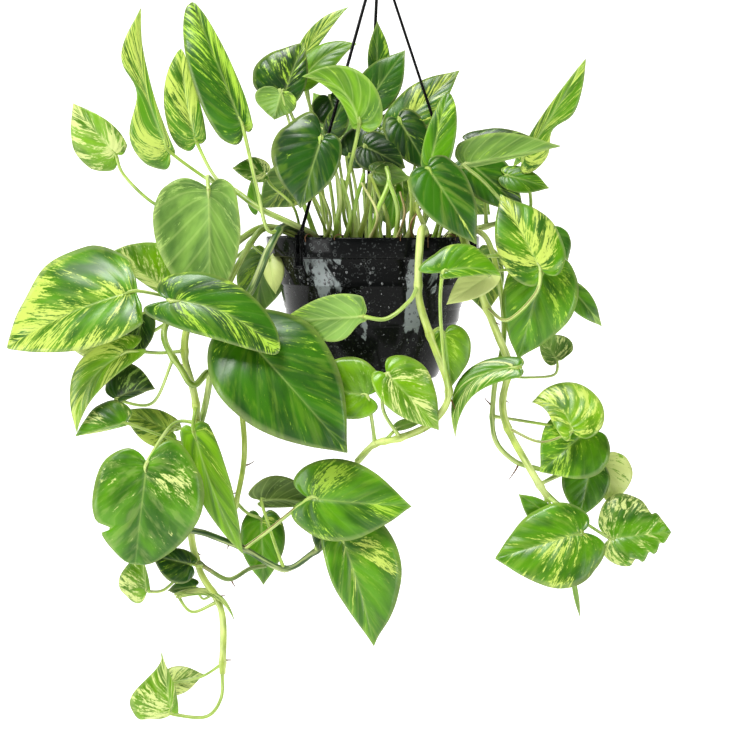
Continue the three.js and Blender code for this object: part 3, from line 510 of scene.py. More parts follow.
class Piece:
    """Closed shells gathered into one object."""

    def __init__(self):
        self.points = []
        self.faces = []
        self.slots = []
        self.fields = {field: [] for field in FIELDS}
        self.count = 0

    def add(self, points, faces, slot=0, **fields):
        """Adds a shell. Each field is one value for the whole shell or one row for each point."""
        points = np.asarray(points, float)
        for face in faces:
            self.faces.append([int(i) + self.count for i in face])
        self.slots += [slot] * len(faces)
        self.points.append(points)
        for field in FIELDS:
            value = np.asarray(fields.get(field, NOTHING), float)
            self.fields[field].append(np.broadcast_to(value, points.shape))
        self.count += len(points)

    def add_rings(self, rings, low, high, slot=0, **fields):
        """Adds a skin over equal rings of points, drawn in to the points low and high at its ends. A
        field is one value for all, or one for each of the rings' points, which its ends then share."""
        count, sides = rings.shape[:2]
        last = (count - 1) * sides
        faces = []
        for j in range(sides):
            k = (j + 1) % sides
            for row in range(0, last, sides):
                faces.append((row + j, row + k, row + sides + k, row + sides + j))
            faces.append((last + sides, k, j))
            faces.append((last + sides + 1, last + j, last + k))
        for field, value in fields.items():
            value = np.broadcast_to(value, rings.shape)
            fields[field] = np.vstack([value.reshape(-1, 3), value[0, 0], value[-1, 0]])
        self.add(np.vstack([rings.reshape(-1, 3), low, high]), faces, slot, **fields)

    def make(self, name, looks, nodes=()):
        """The object, in the CAD's frame, riding on the part's one body."""
        mesh = bpy.data.meshes.new(name)
        mesh.from_pydata(RIM + np.vstack(self.points) * MM, [], self.faces)
        for look in looks:
            mesh.materials.append(look)
        mesh.polygons.foreach_set("material_index", self.slots)
        mesh.shade_smooth()
        for field in FIELDS:
            attribute = mesh.attributes.new(field, "FLOAT_VECTOR", "POINT")
            values = np.vstack(self.fields[field]).astype(np.float32)
            attribute.data.foreach_set("vector", values.ravel())
        mesh.update()
        made = bpy.data.objects.new(name, mesh)
        bpy.context.scene.collection.objects.link(made)
        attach(made, "root")
        if nodes:
            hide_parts(*nodes)


def tube(piece, path, radius, sides, step, flat=1, groove=0, seed=0, tone=NOTHING, paint=NOTHING, **fields):
    """A closed rod along the smooth path. radius is a function of the distance along it and of its whole
    length; tone and paint can be. flat squashes its section, and groove dents it along one side."""
    centre, distance = even_steps(path, step)
    length = distance[-1]
    ahead = unit(np.gradient(centre, axis=0))
    side = np.cross(ahead[0], ASLANT)
    across = []
    for forward in ahead:
        side = unit(side - side.dot(forward) * forward)
        across.append(side)
    up = np.cross(ahead, across)
    angle = circle(sides)
    dent = 1 - groove * bump(angle, math.pi / 2, 0.6)
    ring = np.array(across)[:, None] * np.cos(angle)[:, None]
    ring = ring + flat * up[:, None] * (dent * np.sin(angle))[:, None]
    size = radius(distance, length)[:, None]
    end = ahead * size / 2  # how far the rod's ends stand out

    def everywhere(value):
        return value(distance, length)[:, None] if callable(value) else value

    piece.add_rings(centre[:, None] + ring * size[:, None], centre[0] - end[0], centre[-1] + end[-1],
                    grain=columns(distance[:, None], np.abs(angle - math.pi), seed),
                    tone=everywhere(tone), paint=everywhere(paint), **fields)


def turned(piece, outline, sides, centre=(0, 0)):
    """A solid of revolution about Z from an outline of (radius, height), which starts and ends on
    the axis."""
    angle = circle(sides)
    rings = [columns(*centre, 0) + columns(radius * np.cos(angle), radius * np.sin(angle), height)
             for radius, height in outline[1:-1]]
    piece.add_rings(np.array(rings), (*centre, outline[0][1]), (*centre, outline[-1][1]))


def add_box(piece, low, high, place, ease=0.35):
    """A box with eased edges. place turns its points into the pot's frame."""
    low, high = np.array(low, float), np.array(high, float)
    middle = (high + low) / 2
    half = (high - low) / 2
    inset = half - min(ease, *(half * 0.6)) * (1 - np.eye(3))
    # The eased corner has one point on each of the three sides of the box that meet there.
    corners = [(signs, axis) for signs in SIGNS for axis in range(3)]
    points = np.array([signs * inset[axis] for signs, axis in corners])
    faces = []
    for facing in itertools.product((-1, 0, 1), repeat=3):
        if any(facing):
            loop = [i for i, (signs, axis) in enumerate(corners)
                    if facing[axis] and all(out in (0, sign) for out, sign in zip(facing, signs))]
            right = unit(np.cross(facing, ASLANT))
            up = unit(np.cross(facing, right))
            spokes = points - points[loop].mean(0)
            loop.sort(key=lambda i: math.atan2(spokes[i] @ up, spokes[i] @ right))
            # A known fault: the strips along the edges face inwards, which shows in the clips' shading.
            faces.append(loop[::-1] if facing.count(0) == 1 else loop)
    piece.add([place(middle + point) for point in points], faces)


# ---------------------------------------------------------------- materials
class Look:
    """A material made of nodes, with short ways to add them."""

    def __init__(self, name):
        self.material = bpy.data.materials.new(name)
        self.material.use_nodes = True
        self.tree = self.material.node_tree
        self.shader = self.tree.nodes["Principled BSDF"]

    def node(self, kind, inputs=None, **settings):
        made = self.tree.nodes.new("ShaderNode" + kind)
        for name, value in settings.items():
            setattr(made, name, value)
        for key, value in (inputs or {}).items():
            self.put(value, made.inputs[key])
        return made

    def put(self, value, socket):
        """Links another node's output to the socket, or sets the value on it."""
        if isinstance(value, bpy.types.NodeSocket):
            self.tree.links.new(value, socket)
        else:
            socket.default_value = value

    def field(self, name):
        return self.node("Attribute", attribute_name=name).outputs["Vector"]

    def place(self):
        return self.node("TexCoord").outputs["Object"]

    def parts(self, vector):
        """The three numbers of a vector."""
        return self.node("SeparateXYZ", {0: vector}).outputs[:]

    def maths(self, operation, a, b=0.0, c=0.0):
        return self.node("Math", {0: a, 1: b, 2: c}, operation=operation).outputs[0]

    def times(self, a, b):
        return self.maths("MULTIPLY", a, b)

    def less(self, a, b):
        return self.maths("SUBTRACT", a, b)

    def line(self, value, slope, start):
        """slope times the value, plus start."""
        return self.maths("MULTIPLY_ADD", value, slope, start)

    def step(self, value, low, high):
        """0 below low and 1 above high, with a smooth change between them."""
        return self.node("MapRange", {"Value": value, "From Min": low, "From Max": high},
                         interpolation_type="SMOOTHSTEP").outputs[0]

    def noise(self, vector, scale, detail, rough=0.5, twist=0.0):
        return self.node("TexNoise", {"Vector": vector, "Scale": scale, "Detail": detail,
                                      "Roughness": rough, "Distortion": twist}).outputs["Fac"]

    def stretched(self, vector, by):
        return self.node("VectorMath", {0: vector, 1: by}, operation="MULTIPLY").outputs[0]

    def grained(self, along, across, detail, rough=0.5, twist=0.0):
        """Noise along and across the grain, with about so many waves to a millimetre."""
        return self.noise(self.stretched(self.field("grain"), (along, across, 1)), 1, detail, rough, twist)

    def mix(self, amount, a, b, blend="MIX"):
        made = self.node("Mix", {"Factor": amount}, data_type="RGBA", blend_type=blend)
        for socket, colour in ((6, a), (7, b)):
            if isinstance(colour, tuple):
                colour = (*linear(colour), 1)
            self.put(colour, made.inputs[socket])
        return made.outputs[2]

    def lay(self, colour, over, where, strength=1.0):
        """The colour with another one over it, where the value says and no stronger than strength."""
        return self.mix(self.times(where, strength), colour, over)

    def relief(self, height, depth, strength):
        """A normal from a height of 0 to 1 that stands for depth millimetres."""
        return self.node("Bump", {"Height": height, "Distance": depth * MM, "Strength": strength}).outputs[0]

    def finish(self, colour, roughness, normal, **fixed):
        """The material, with what varies over it linked and what doesn't set on the shader itself."""
        inputs = {"Base Color": colour, "Roughness": roughness, "Normal": normal}
        for name, value in (*inputs.items(), *fixed.items()):
            if value is not None:
                self.put(value, self.shader.inputs[name.replace("_", " ")])
        return self.material


# Noise that adds up to a leaf's streaks, from flecks to whole sectors of the blade: waves along and
# across the side veins, detail, roughness, distortion, and its share of the sum.
STREAKS = [
    (1.0, 0.7, 2, 0.5, 0, 0.12), (0.19, 0.06, 4, 0.6, 1.2, 0.34), (0.42, 0.17, 3, 0.5, 0.8, 0.24),
    (0.035, 0.02, 2, 0.5, 0, 0.3),
]


def leaf_look():
    """Waxy leaf: its own green, pale streaks that follow the side veins, and a pale midrib."""
    look = Look("leaf")
    cover, _, under = look.parts(look.field("paint"))
    midrib, vein, edge = look.parts(look.field("lines"))
    tone, pale = look.field("tone"), look.field("pale")

    cloud = look.grained(0.04, 0.04, 3)
    deep = look.mix(1.0, tone, (140, 164, 118), "MULTIPLY")
    green = look.mix(look.step(cloud, 0.3, 0.7), tone, deep)
    green = look.lay(green, pale, look.step(look.grained(0.14, 0.07, 3), 0.5, 0.66), 0.12)

    mixed = 0.0
    for *noise, share in STREAKS:
        mixed = look.line(look.grained(*noise), share, mixed)
    over = look.less(mixed, look.line(cover, -0.2, 0.585))  # the more cover, the lower the limit
    colour = look.lay(green, look.mix(0.45, green, pale), look.step(over, -0.035, 0.012), 0.7)
    colour = look.lay(colour, pale, look.step(over, 0.002, 0.022), 0.9)

    from_vein = look.maths("ABSOLUTE", look.less(look.maths("FRACT", vein), 0.5))
    on_vein = look.less(1.0, look.step(from_vein, 0.02, 0.12))
    colour = look.lay(colour, (190, 214, 120), on_vein, look.line(under, 0.12, 0.03))
    colour = look.lay(colour, (182, 206, 116), midrib, 0.6)
    colour = look.lay(colour, (186, 204, 112), edge, 0.3)

    height = look.line(on_vein, -0.3, look.times(look.grained(1.6, 1.6, 2), 0.3))
    rough = look.line(look.less(cloud, 0.5), 0.2, look.line(under, 0.2, 0.33))
    return look.finish(colour, rough, look.relief(height, 0.25, 0.5), Specular_IOR_Level=0.42)


def stalk_look():
    """Green stem: long pale streaks, brown rings at the nodes, and a brown edge where a sheath dried."""
    look = Look("stalk")
    angle = look.parts(look.field("grain"))[1]
    streak, brown, sheath = look.parts(look.field("paint"))
    tone = look.field("tone")
    deep = look.mix(1.0, tone, (176, 190, 150), "MULTIPLY")
    colour = look.mix(look.step(look.grained(0.05, 0.4, 3), 0.35, 0.7), tone, deep)
    over = look.less(look.grained(0.022, 0.9, 3), look.line(streak, -0.4, 0.66))
    colour = look.lay(colour, look.field("pale"), look.step(over, -0.08, 0.1), 0.5)
    speck = look.grained(0.5, 3.0, 3)
    ring = look.step(look.maths("ADD", brown, look.line(speck, 0.6, -0.3)), 0.35, 0.75)
    dried = look.times(look.step(look.less(angle, look.times(speck, 0.5)), 2.45, 2.62), sheath)
    colour = look.lay(colour, (104, 64, 30), look.maths("MAXIMUM", ring, dried), 0.85)
    normal = look.relief(look.grained(0.15, 4.0, 3), 0.25, 0.5)
    return look.finish(colour, look.line(ring, 0.3, 0.42), normal, Coat_Weight=0.05)


def plastic_look(name, specks):
    """Black moulded plastic with faint scuffs, dried water marks as strong as specks says, and grey patches
    of water film where it is painted on; the patches on the pot's front are painted reflections of the
    softboxes."""
    look = Look(name)
    place = look.place()
    cloud = look.noise(place, 22, 4)
    colour = look.mix(look.step(cloud, 0.35, 0.75), (8, 9, 9), (15, 16, 16))
    cells = look.node("TexVoronoi", {"Vector": place, "Scale": 210.0, "Randomness": 1.0})
    ring = look.maths("ABSOLUTE", look.less(cells.outputs["Distance"], 0.28))
    ring = look.less(1.0, look.step(ring, 0.02, 0.09))
    wet = look.step(look.noise(place, 34, 2), 0.46, 0.62)
    marks = look.times(look.times(ring, wet), specks)
    dust = look.times(look.step(look.noise(place, 420, 2), 0.6, 0.72), specks * 0.5)
    shown = look.maths("MAXIMUM", marks, dust)
    colour = look.lay(colour, (128, 134, 132), shown, 0.3)
    # Grey patches where the paint field says: water film, and painted reflections of the softboxes on the
    # pot's front.
    ragged = look.noise(look.stretched(place, (1, 1, 0.4)), 48, 4, 0.6, 0.8)
    film_and_reflection = look.step(look.line(ragged, 1.3, look.parts(look.field("paint"))[0]), 1.08, 1.15)
    dry = look.less(1.0, look.times(ring, 0.6))
    colour = look.lay(colour, (138, 146, 145), film_and_reflection, look.times(dry, 0.8))
    rough = look.line(shown, 0.3, look.line(cloud, 0.1, 0.08))
    normal = look.relief(look.noise(place, 900, 2), 0.02, 0.3)
    return look.finish(colour, rough, normal, Specular_IOR_Level=0.08)


def soil_look():
    """Dark crumbs with paler fibres among them."""
    look = Look("potting_mix")
    place = look.place()
    crumbs = look.noise(place, 160, 6, 0.6)
    colour = look.mix(look.step(crumbs, 0.35, 0.65), (26, 18, 12), (84, 58, 38))
    fibre = look.noise(look.stretched(place, (1, 3, 1)), 420, 3)
    colour = look.lay(colour, (132, 96, 62), look.step(fibre, 0.58, 0.7), 0.6)
    return look.finish(colour, 0.92, look.relief(crumbs, 1.5, 0.8), Specular_IOR_Level=0.25)


def chip_look():
    """Bark chips and perlite: the tone is each grain's own."""
    look = Look("bark_and_perlite")
    grit = look.noise(look.place(), 700, 4, 0.6)
    colour = look.lay(look.field("tone"), (30, 20, 12), look.step(grit, 0.35, 0.7), 0.5)
    return look.finish(colour, 0.88, look.relief(grit, 0.4, 0.7), Specular_IOR_Level=0.3)


def droplet_look():
    """Water over black plastic."""
    look = Look("water_drops")
    haze = look.noise(look.place(), 500, 2)
    colour = look.mix(haze, (40, 42, 42), (92, 96, 96))
    return look.finish(colour, look.line(haze, 0.1, 0.06), None, Specular_IOR_Level=0.7, Coat_Weight=0.6)


def root_look():
    """Brown bark in the root's own tone."""
    look = Look("aerial_root")
    bark = look.grained(0.8, 1.0, 4)
    colour = look.mix(look.step(bark, 0.35, 0.65), look.field("tone"), (62, 38, 20))
    return look.finish(colour, 0.75, look.relief(bark, 0.3, 0.7), Specular_IOR_Level=0.3)


LEAF = leaf_look()
STALK = stalk_look()
POT_PLASTIC = plastic_look("pot_plastic", 1.0)
HANGER_PLASTIC = plastic_look("hanger_plastic", 0.15)
MIX = soil_look()
CHIPS = chip_look()
DROPS = droplet_look()
ROOT = root_look()

# ---------------------------------------------------------------- leaves
# Rows across one half of a blade, from the heart-shaped base to the tip. Each row follows a side vein:
# where it leaves the midrib, where it meets the edge, and the half width there.
ROW_START = [0, 0.012, 0.03, 0.055, 0.10, 0.18, 0.30, 0.46, 0.64, 0.82, 1.0]
ROW_EDGE = [0, -0.10, -0.13, -0.06, 0.07, 0.25, 0.45, 0.63, 0.79, 0.92, 1.0]
ROW_WIDTH = [0, 0.18, 0.42, 0.70, 0.91, 1.0, 0.93, 0.72, 0.43, 0.15, 0]
# Where the side vein that meets the edge at each tenth of the rows leaves the midrib.
VEIN_START = [0, 0.03, 0.06, 0.10, 0.16, 0.25, 0.38, 0.53, 0.68, 0.84, 1]
WIDEST = 0.25  # where a blade is widest, as a part of the midrib's length
FACING = [0, 20]  # where a leaf's upper face looks when it gives no face of its own
BEND = 20
CURL = 28
ROW_PLACE = np.linspace(0, 1, 53)
COLUMN_PLACE = np.linspace(0, 1, 12) ** 1.5
SIDE_VEINS = 9
WAVE = 0.07  # how far the edge waves up and down, as a part of the blade's half width
WAVES = (2, 3.3, 5.1)  # and how many times along the blade
PUFF = 0.011  # how far the blade stands up between two side veins, as a part of the half width
PUFF_MOST = 0.4
LEAF_THICKNESS = 0.7
GROOVE = (0.5, 1.5)  # depth and half width of the midrib's groove in the upper face
RIDGE = (1.0, 1.7)  # height and half width of its ridge under the lower one
FULL_RELIEF = 20  # half width from which a blade has the whole of both
EDGE_LINE = 0.8  # width of the pale line round a blade
GRAIN_STRETCH = 1.4  # of the pattern along the midrib
PETIOLE_RADIUS = 1.8
FULL_PETIOLE = 72  # length of blade from which the stalk has its whole thickness
PETIOLE_END = 0.09  # where the stalk has run out in the midrib
PETIOLE_FOOT = (0.25, 8)  # how much thicker its foot is, and over what length
PETIOLE_KNEE = (0.12, 5)  # the same where it bends into the blade
KNEE_PLACE = 9  # from the stalk's end
SHEATH_PART = 0.75  # how much of the stalk a dried sheath runs along
UNDERSIDE = (150, 186, 104)
UNDERSIDE_SHARE = 0.45  # and how much of it a leaf's lower face takes on
STALK_TONE = (158, 188, 74)
STALK_PALE = (222, 234, 156)


def soil_height(spread):
    return SOIL_CENTRE + (SOIL_EDGE - SOIL_CENTRE) * (spread / SOIL_RADIUS) ** 2


def rooted(points):
    """Points whose first is [x, y] start under the mix there and leave it straight up."""
    if len(points[0]) == 3:
        return points
    x, y = points[0]
    foot = soil_height(math.hypot(x, y))
    return [[x, y, foot - 3], [x, y, foot + 4], *points[1:]]


def on_vine(name, place):
    """The point on a vine's centre line at a place counted in points of its path."""
    path = VINES[name]["path"]
    points = rooted(path)
    added = len(points) - len(path)
    return smooth(points, [(place + added) / (len(points) - 1)])[0]


def of_side(value, side):
    """The value for one side (-1 left, 1 right), from one for both or from a pair."""
    if isinstance(value, (list, tuple)):
        return value[0 if side < 0 else 1]
    return value


def direction(face):
    """The direction turned so many degrees from straight ahead of the plant towards +X, and up."""
    turn, rise = (math.radians(angle) for angle in face)
    return np.array([math.sin(turn) * math.cos(rise), -math.cos(turn) * math.cos(rise), math.sin(rise)])


class Midrib:
    """The curve of a blade's middle from base to tip, with the blade's own directions."""

    def __init__(self, leaf):
        self.base, self.tip = (np.array(leaf[key], float) for key in ("base", "tip"))
        self.length = float(np.linalg.norm(self.tip - self.base))
        self.forward = unit(self.tip - self.base)
        upper = direction(leaf.get("face", FACING))
        self.upper = unit(upper - (upper @ self.forward) * self.forward)
        self.right = np.cross(self.forward, self.upper)
        self.control = (self.base + self.tip) / 2
        for side, angle in ((self.upper, leaf.get("bend", BEND)), (self.right, leaf.get("sweep", 0))):
            self.control = self.control + side * self.length / 2 * math.tan(math.radians(angle) / 2)

    def at(self, s):
        """The points at each s from 0 to 1, or straight back from the base where s is below 0."""
        s = np.asarray(s, float)
        t = np.clip(s, 0, 1)[..., None]
        curve = (1 - t) ** 2 * self.base + 2 * t * (1 - t) * self.control + t**2 * self.tip
        return curve + np.minimum(s, 0)[..., None] * 2 * (self.control - self.base)

    def ahead(self, s):
        t = np.clip(s, 0, 1)[..., None]
        return unit(2 * (1 - t) * (self.control - self.base) + 2 * t * (self.tip - self.control))

    def across(self, s, side, twist):
        """The direction out to one side, turned about the blade's length as s grows."""
        angle = (math.radians(twist) * (s - WIDEST))[..., None]
        turned_right = self.right * np.cos(angle) + np.cross(self.forward, self.right) * np.sin(angle)
        ahead = self.ahead(s)
        out = turned_right * side
        return unit(out - (out * ahead).sum(-1, keepdims=True) * ahead)


def half_blade(leaf, midrib, side):
    """Points of one half (side -1 left, 1 right), its half width at each row, and where each point
    lies along the midrib."""
    start, edge, width = smooth(columns(ROW_START, ROW_EDGE, ROW_WIDTH), ROW_PLACE).T
    bend = math.radians(of_side(leaf.get("curl", CURL), side))
    arc = 1 / (2 * math.sin(bend / 2))
    out = arc * (math.sin(bend / 2) - np.sin(bend / 2 - bend * COLUMN_PLACE))
    rise = arc * (np.cos(bend / 2 - bend * COLUMN_PLACE) - math.cos(bend / 2))
    full, shoulder, lobe = (of_side(leaf.get(key, 1), side) for key in ("full", "shoulder", "lobe"))
    width = np.maximum(width, 0) ** (1 / np.where(edge > WIDEST, full, shoulder))
    edge = np.where(edge < 0, edge * lobe, edge)
    s = start[:, None] * (1 - COLUMN_PLACE) + edge[:, None] * COLUMN_PLACE
    reach = of_side(leaf["width"], side) * width
    for bite_side, place, wide, depth in leaf.get("bites", []):
        if bite_side == side:
            reach = reach * (1 - depth * bump(ROW_PLACE, place, wide))
    across = midrib.across(s, side, leaf.get("twist", 0))
    up = np.cross(across * side, midrib.ahead(s))
    aside = across * (out * reach[:, None])[..., None]
    upward = up * (rise * reach[:, None])[..., None]
    return midrib.at(s) + aside + upward, reach, s


def surface_normals(grid):
    normals = unit(np.cross(np.gradient(grid, axis=1), np.gradient(grid, axis=0)))
    normals[0] = unit(normals[1].mean(0))
    normals[-1] = unit(normals[-2].mean(0))
    return normals


def edge_wave(x, u, size, seed):
    """How far a blade waves up or down, which grows towards its edges. Its halves are out of step."""
    draw = np.random.default_rng(seed)
    wave = 0
    for turns in WAVES:
        left, right = draw.uniform(0, 2 * math.pi, 2)
        wave = wave + np.sin(2 * math.pi * turns * u + np.where(x < 0, left, right)) / turns
    return wave * size * WAVE * x**2 * np.sin(math.pi * u) ** 0.5


def sheet_faces(rows, across):
    """Faces of two grids of points, one over the other, and of the strip that joins their edges. The
    first row and the last row of a grid are one point each."""
    count = 2 + (rows - 2) * across

    def index(row, column):
        return min(1 + (row - 1) * across + column, count - 1) if row else 0

    faces = []
    for row in range(rows - 1):
        for column in range(across - 1):
            corners = [index(row, column), index(row, column + 1), index(row + 1, column + 1),
                       index(row + 1, column)]
            corners = list(dict.fromkeys(corners))
            faces.append(corners)
            faces.append([count + i for i in reversed(corners)])
    rim = [index(row, across - 1) for row in range(rows)]
    rim += [index(row, 0) for row in range(rows - 2, 0, -1)]
    for a, b in zip(rim, rim[1:] + rim[:1]):
        faces.append([a, count + a, count + b, b])
    return faces


def add_blade(piece, leaf, midrib, turned_over, seed):
    """A thin closed blade: wavy towards its edges, puffed between the side veins, with the midrib
    sunk in its upper face and raised on its lower one."""
    left, left_reach, left_s = half_blade(leaf, midrib, -1)
    right, right_reach, right_s = half_blade(leaf, midrib, 1)
    grid = np.concatenate([left[:, :0:-1], right], axis=1)
    s = np.concatenate([left_s[:, :0:-1], right_s], axis=1)
    x = np.concatenate([-COLUMN_PLACE[:0:-1], COLUMN_PLACE])
    reach = np.where(x < 0, left_reach[:, None], right_reach[:, None])
    size = max(float(reach.max()), 4)
    u = np.repeat(ROW_PLACE[:, None], len(x), axis=1)
    out = np.abs(x)
    from_midrib = out * reach
    vein = u + (np.interp(u, np.linspace(0, 1, len(VEIN_START)), VEIN_START) - u) * out**0.8

    puff = -np.cos(2 * math.pi * SIDE_VEINS * vein) * (4 * out * (1 - out)) * min(PUFF_MOST, size * PUFF)
    grid = grid + surface_normals(grid) * (edge_wave(x, u, size, seed) + puff)[..., None]
    normals = surface_normals(grid)
    fade = np.clip(1 - 0.75 * u, 0.2, 1)
    thin = LEAF_THICKNESS / 2 * (1 - 0.55 * out**4)
    groove, ridge = (height * fade * bump(from_midrib, 0, wide) * min(1, size / FULL_RELIEF)
                     for height, wide in (GROOVE, RIDGE))
    upper = grid + normals * (thin - groove)[..., None]
    lower = grid - normals * (thin + ridge)[..., None]

    green, pale, cover, *patches = leaf["look"]
    for along, aside, long, wide, amount in patches:
        cover = cover + amount * bump(s, along, long) * bump(x, aside, wide)
    sharpness = bump(from_midrib, 0, 0.55 + 0.5 * fade) * np.clip(1.15 - u, 0, 1)
    edge = bump((1 - out) * reach, 0, EDGE_LINE)
    lines = columns(sharpness, vein * SIDE_VEINS + 0.5, edge)
    grain = columns(vein * midrib.length * GRAIN_STRETCH, x * reach, seed * 7.3)
    shown = leaf_colour(green)
    other = shown * (1 - UNDERSIDE_SHARE) + leaf_colour(UNDERSIDE) * UNDERSIDE_SHARE
    tones = (other, shown) if turned_over else (shown, other)

    def both(*faces):
        """Rows for the two faces, with one for a whole first row and one for a whole last row."""
        grids = [np.broadcast_to(face, grid.shape) for face in faces]
        return np.vstack([part for face in grids
                          for part in (face[0, :1], face[1:-1].reshape(-1, 3), face[-1, :1])])

    piece.add(both(upper, lower), sheet_faces(*grid.shape[:2]), tone=both(*tones), pale=leaf_colour(pale),
              grain=both(grain, grain), lines=both(lines, lines),
              paint=both(columns(cover, 0, 0), columns(cover, 0, 1)))


def add_petiole(piece, leaf, midrib, seed):
    """The leaf's stalk: thicker at its foot, with a groove along it, running out in the midrib."""
    start = on_vine(leaf["stem"], leaf["at"]) if "stem" in leaf else leaf["root"]
    points = rooted([start, *leaf["via"], midrib.at(0), midrib.at(PETIOLE_END)])
    full_radius = PETIOLE_RADIUS * min(1, 0.55 + 0.45 * midrib.length / FULL_PETIOLE)

    (foot, foot_length), (knee, knee_length) = PETIOLE_FOOT, PETIOLE_KNEE

    def radius(distance, length):
        swell = 1 + foot * bump(distance, 0, foot_length)
        swell = swell + knee * bump(distance, length - KNEE_PLACE, knee_length)
        return full_radius * swell * np.clip((length - distance) / 7, 0.3, 1) ** 0.6

    def paint(distance, length):
        brown = 0.55 * bump(distance, length - 8, 2.5)
        return columns(0.35, brown, leaf.get("sheath", 0) * (distance < SHEATH_PART * length))

    tube(piece, points, radius, 10, 3, slot=1, groove=0.3, paint=paint, tone=linear(STALK_TONE),
         pale=linear(STALK_PALE), seed=seed * 3.1)


def make_leaf(name, leaf, nodes, seed):
    turned_over = abs(leaf.get("face", FACING)[0]) > 90 and not name.startswith("leaf_back")
    piece = Piece()
    midrib = Midrib(leaf)
    add_blade(piece, leaf, midrib, turned_over, seed)
    add_petiole(piece, leaf, midrib, seed)
    piece.make(name + "_fine" if nodes else name, [LEAF, STALK], nodes)


# ---------------------------------------------------------------- vines
JOINT_GAP = 9  # joints nearer to each other than this show as one; the waist is as far beyond a joint
VINE_TURNS = 0.3  # where along a vine its colour usually turns
VINE_TAPER = 0.12  # how much thinner its end is
VINE_STEP = 2.5
JOINT_SWELL = (0.24, 3.5)  # how much thicker a vine is at a joint, and over what length
JOINT_WAIST = (0.08, 7)  # and how much thinner beyond it


def joint_places(name, centre, distance):
    """How far along a vine each leaf or branch leaves it."""
    found = []
    for other in [*LEAVES.values(), *EXTRA_LEAVES.values(), *VINES.values()]:
        if other.get("stem") == name:
            foot = on_vine(name, other["at"]) if "at" in other else other["path"][0]
            found.append(distance[np.argmin(np.linalg.norm(centre - foot, axis=1))])
    found.sort()
    return [place for i, place in enumerate(found) if i == 0 or place - found[i - 1] > JOINT_GAP]


def make_vine(name, seed):
    """A vine with a swelling and a brown ring at each joint."""
    vine = VINES[name]
    path = rooted(vine["path"])
    joints = joint_places(name, *even_steps(path, VINE_STEP))
    (thicker, swell_length), (thinner, waist_length) = JOINT_SWELL, JOINT_WAIST
    near, far = linear(vine["near"]), linear(vine["far"])

    def radius(distance, length):
        swell = 1
        for place in joints:
            swell = swell + thicker * bump(distance, place, swell_length)
            swell = swell - thinner * bump(distance, place + JOINT_GAP, waist_length)
        return vine["radius"] * swell * (1 - VINE_TAPER * distance / length)

    def paint(distance, _):
        brown = 0.55 * bump(distance, 14, 11)
        for place in joints:
            brown = brown + 0.6 * bump(distance, place - 2, 1)
        return columns(0.38, np.clip(brown, 0, 1), vine.get("sheath", 0))

    def tone(distance, length):
        part = np.clip((distance / length - vine.get("turns", VINE_TURNS)) * 6 + 0.5, 0, 1)[:, None]
        return near * (1 - part) + far * part

    piece = Piece()
    tube(piece, path, radius, 14, VINE_STEP, groove=0.12, paint=paint, tone=tone, pale=linear(STALK_PALE),
         seed=seed)
    piece.make(name + "_fine", [STALK], [name])

# ---------------------------------------------------------------- roots and loose stalks
# Short brown roots at the vines' joints: vine, place along it, where the root points, length.
AERIAL_ROOTS = [
    ("vine_left_long", 3.4, (190, -30), 9), ("vine_left_long", 6.2, (-110, -20), 10),
    ("vine_left_long", 8.6, (100, -35), 9), ("vine_left_long", 9.7, (70, 20), 10),
    ("vine_left_long", 10.8, (95, 5), 11), ("vine_left_dark", 4.2, (-100, -50), 8),
    ("vine_left_dark", 9.6, (-95, 15), 6), ("vine_left_dark", 12.6, (-60, -70), 7),
    ("vine_middle", 5.6, (80, 12), 13), ("vine_middle", 7.2, (85, 18), 12),
    ("vine_middle", 7.7, (-90, -10), 7), ("vine_cross", 2.1, (60, -60), 7),
    ("vine_front", 4.2, (120, -35), 9), ("vine_front", 6.1, (80, -60), 12),
    ("vine_front", 7.1, (-70, -50), 9), ("vine_right_thin", 6.3, (-80, 45), 12),
    ("vine_right_thin", 8.2, (-70, -60), 16), ("vine_right_thin", 8.7, (150, -50), 8),
    ("vine_right_thick", 4.6, (80, -30), 8), ("vine_right_thick", 6.9, (110, -30), 7),
]
AERIAL_TONE = (120, 82, 46)
# Thin brown roots that lie over the rim and hang a little way down outside it: azimuth, drop.
RIM_ROOTS = [(-126, 4), (-107, 2), (-76, 3), (-60, 9), (-45, 3)]
RIM_ROOT_TONE = (112, 78, 48)
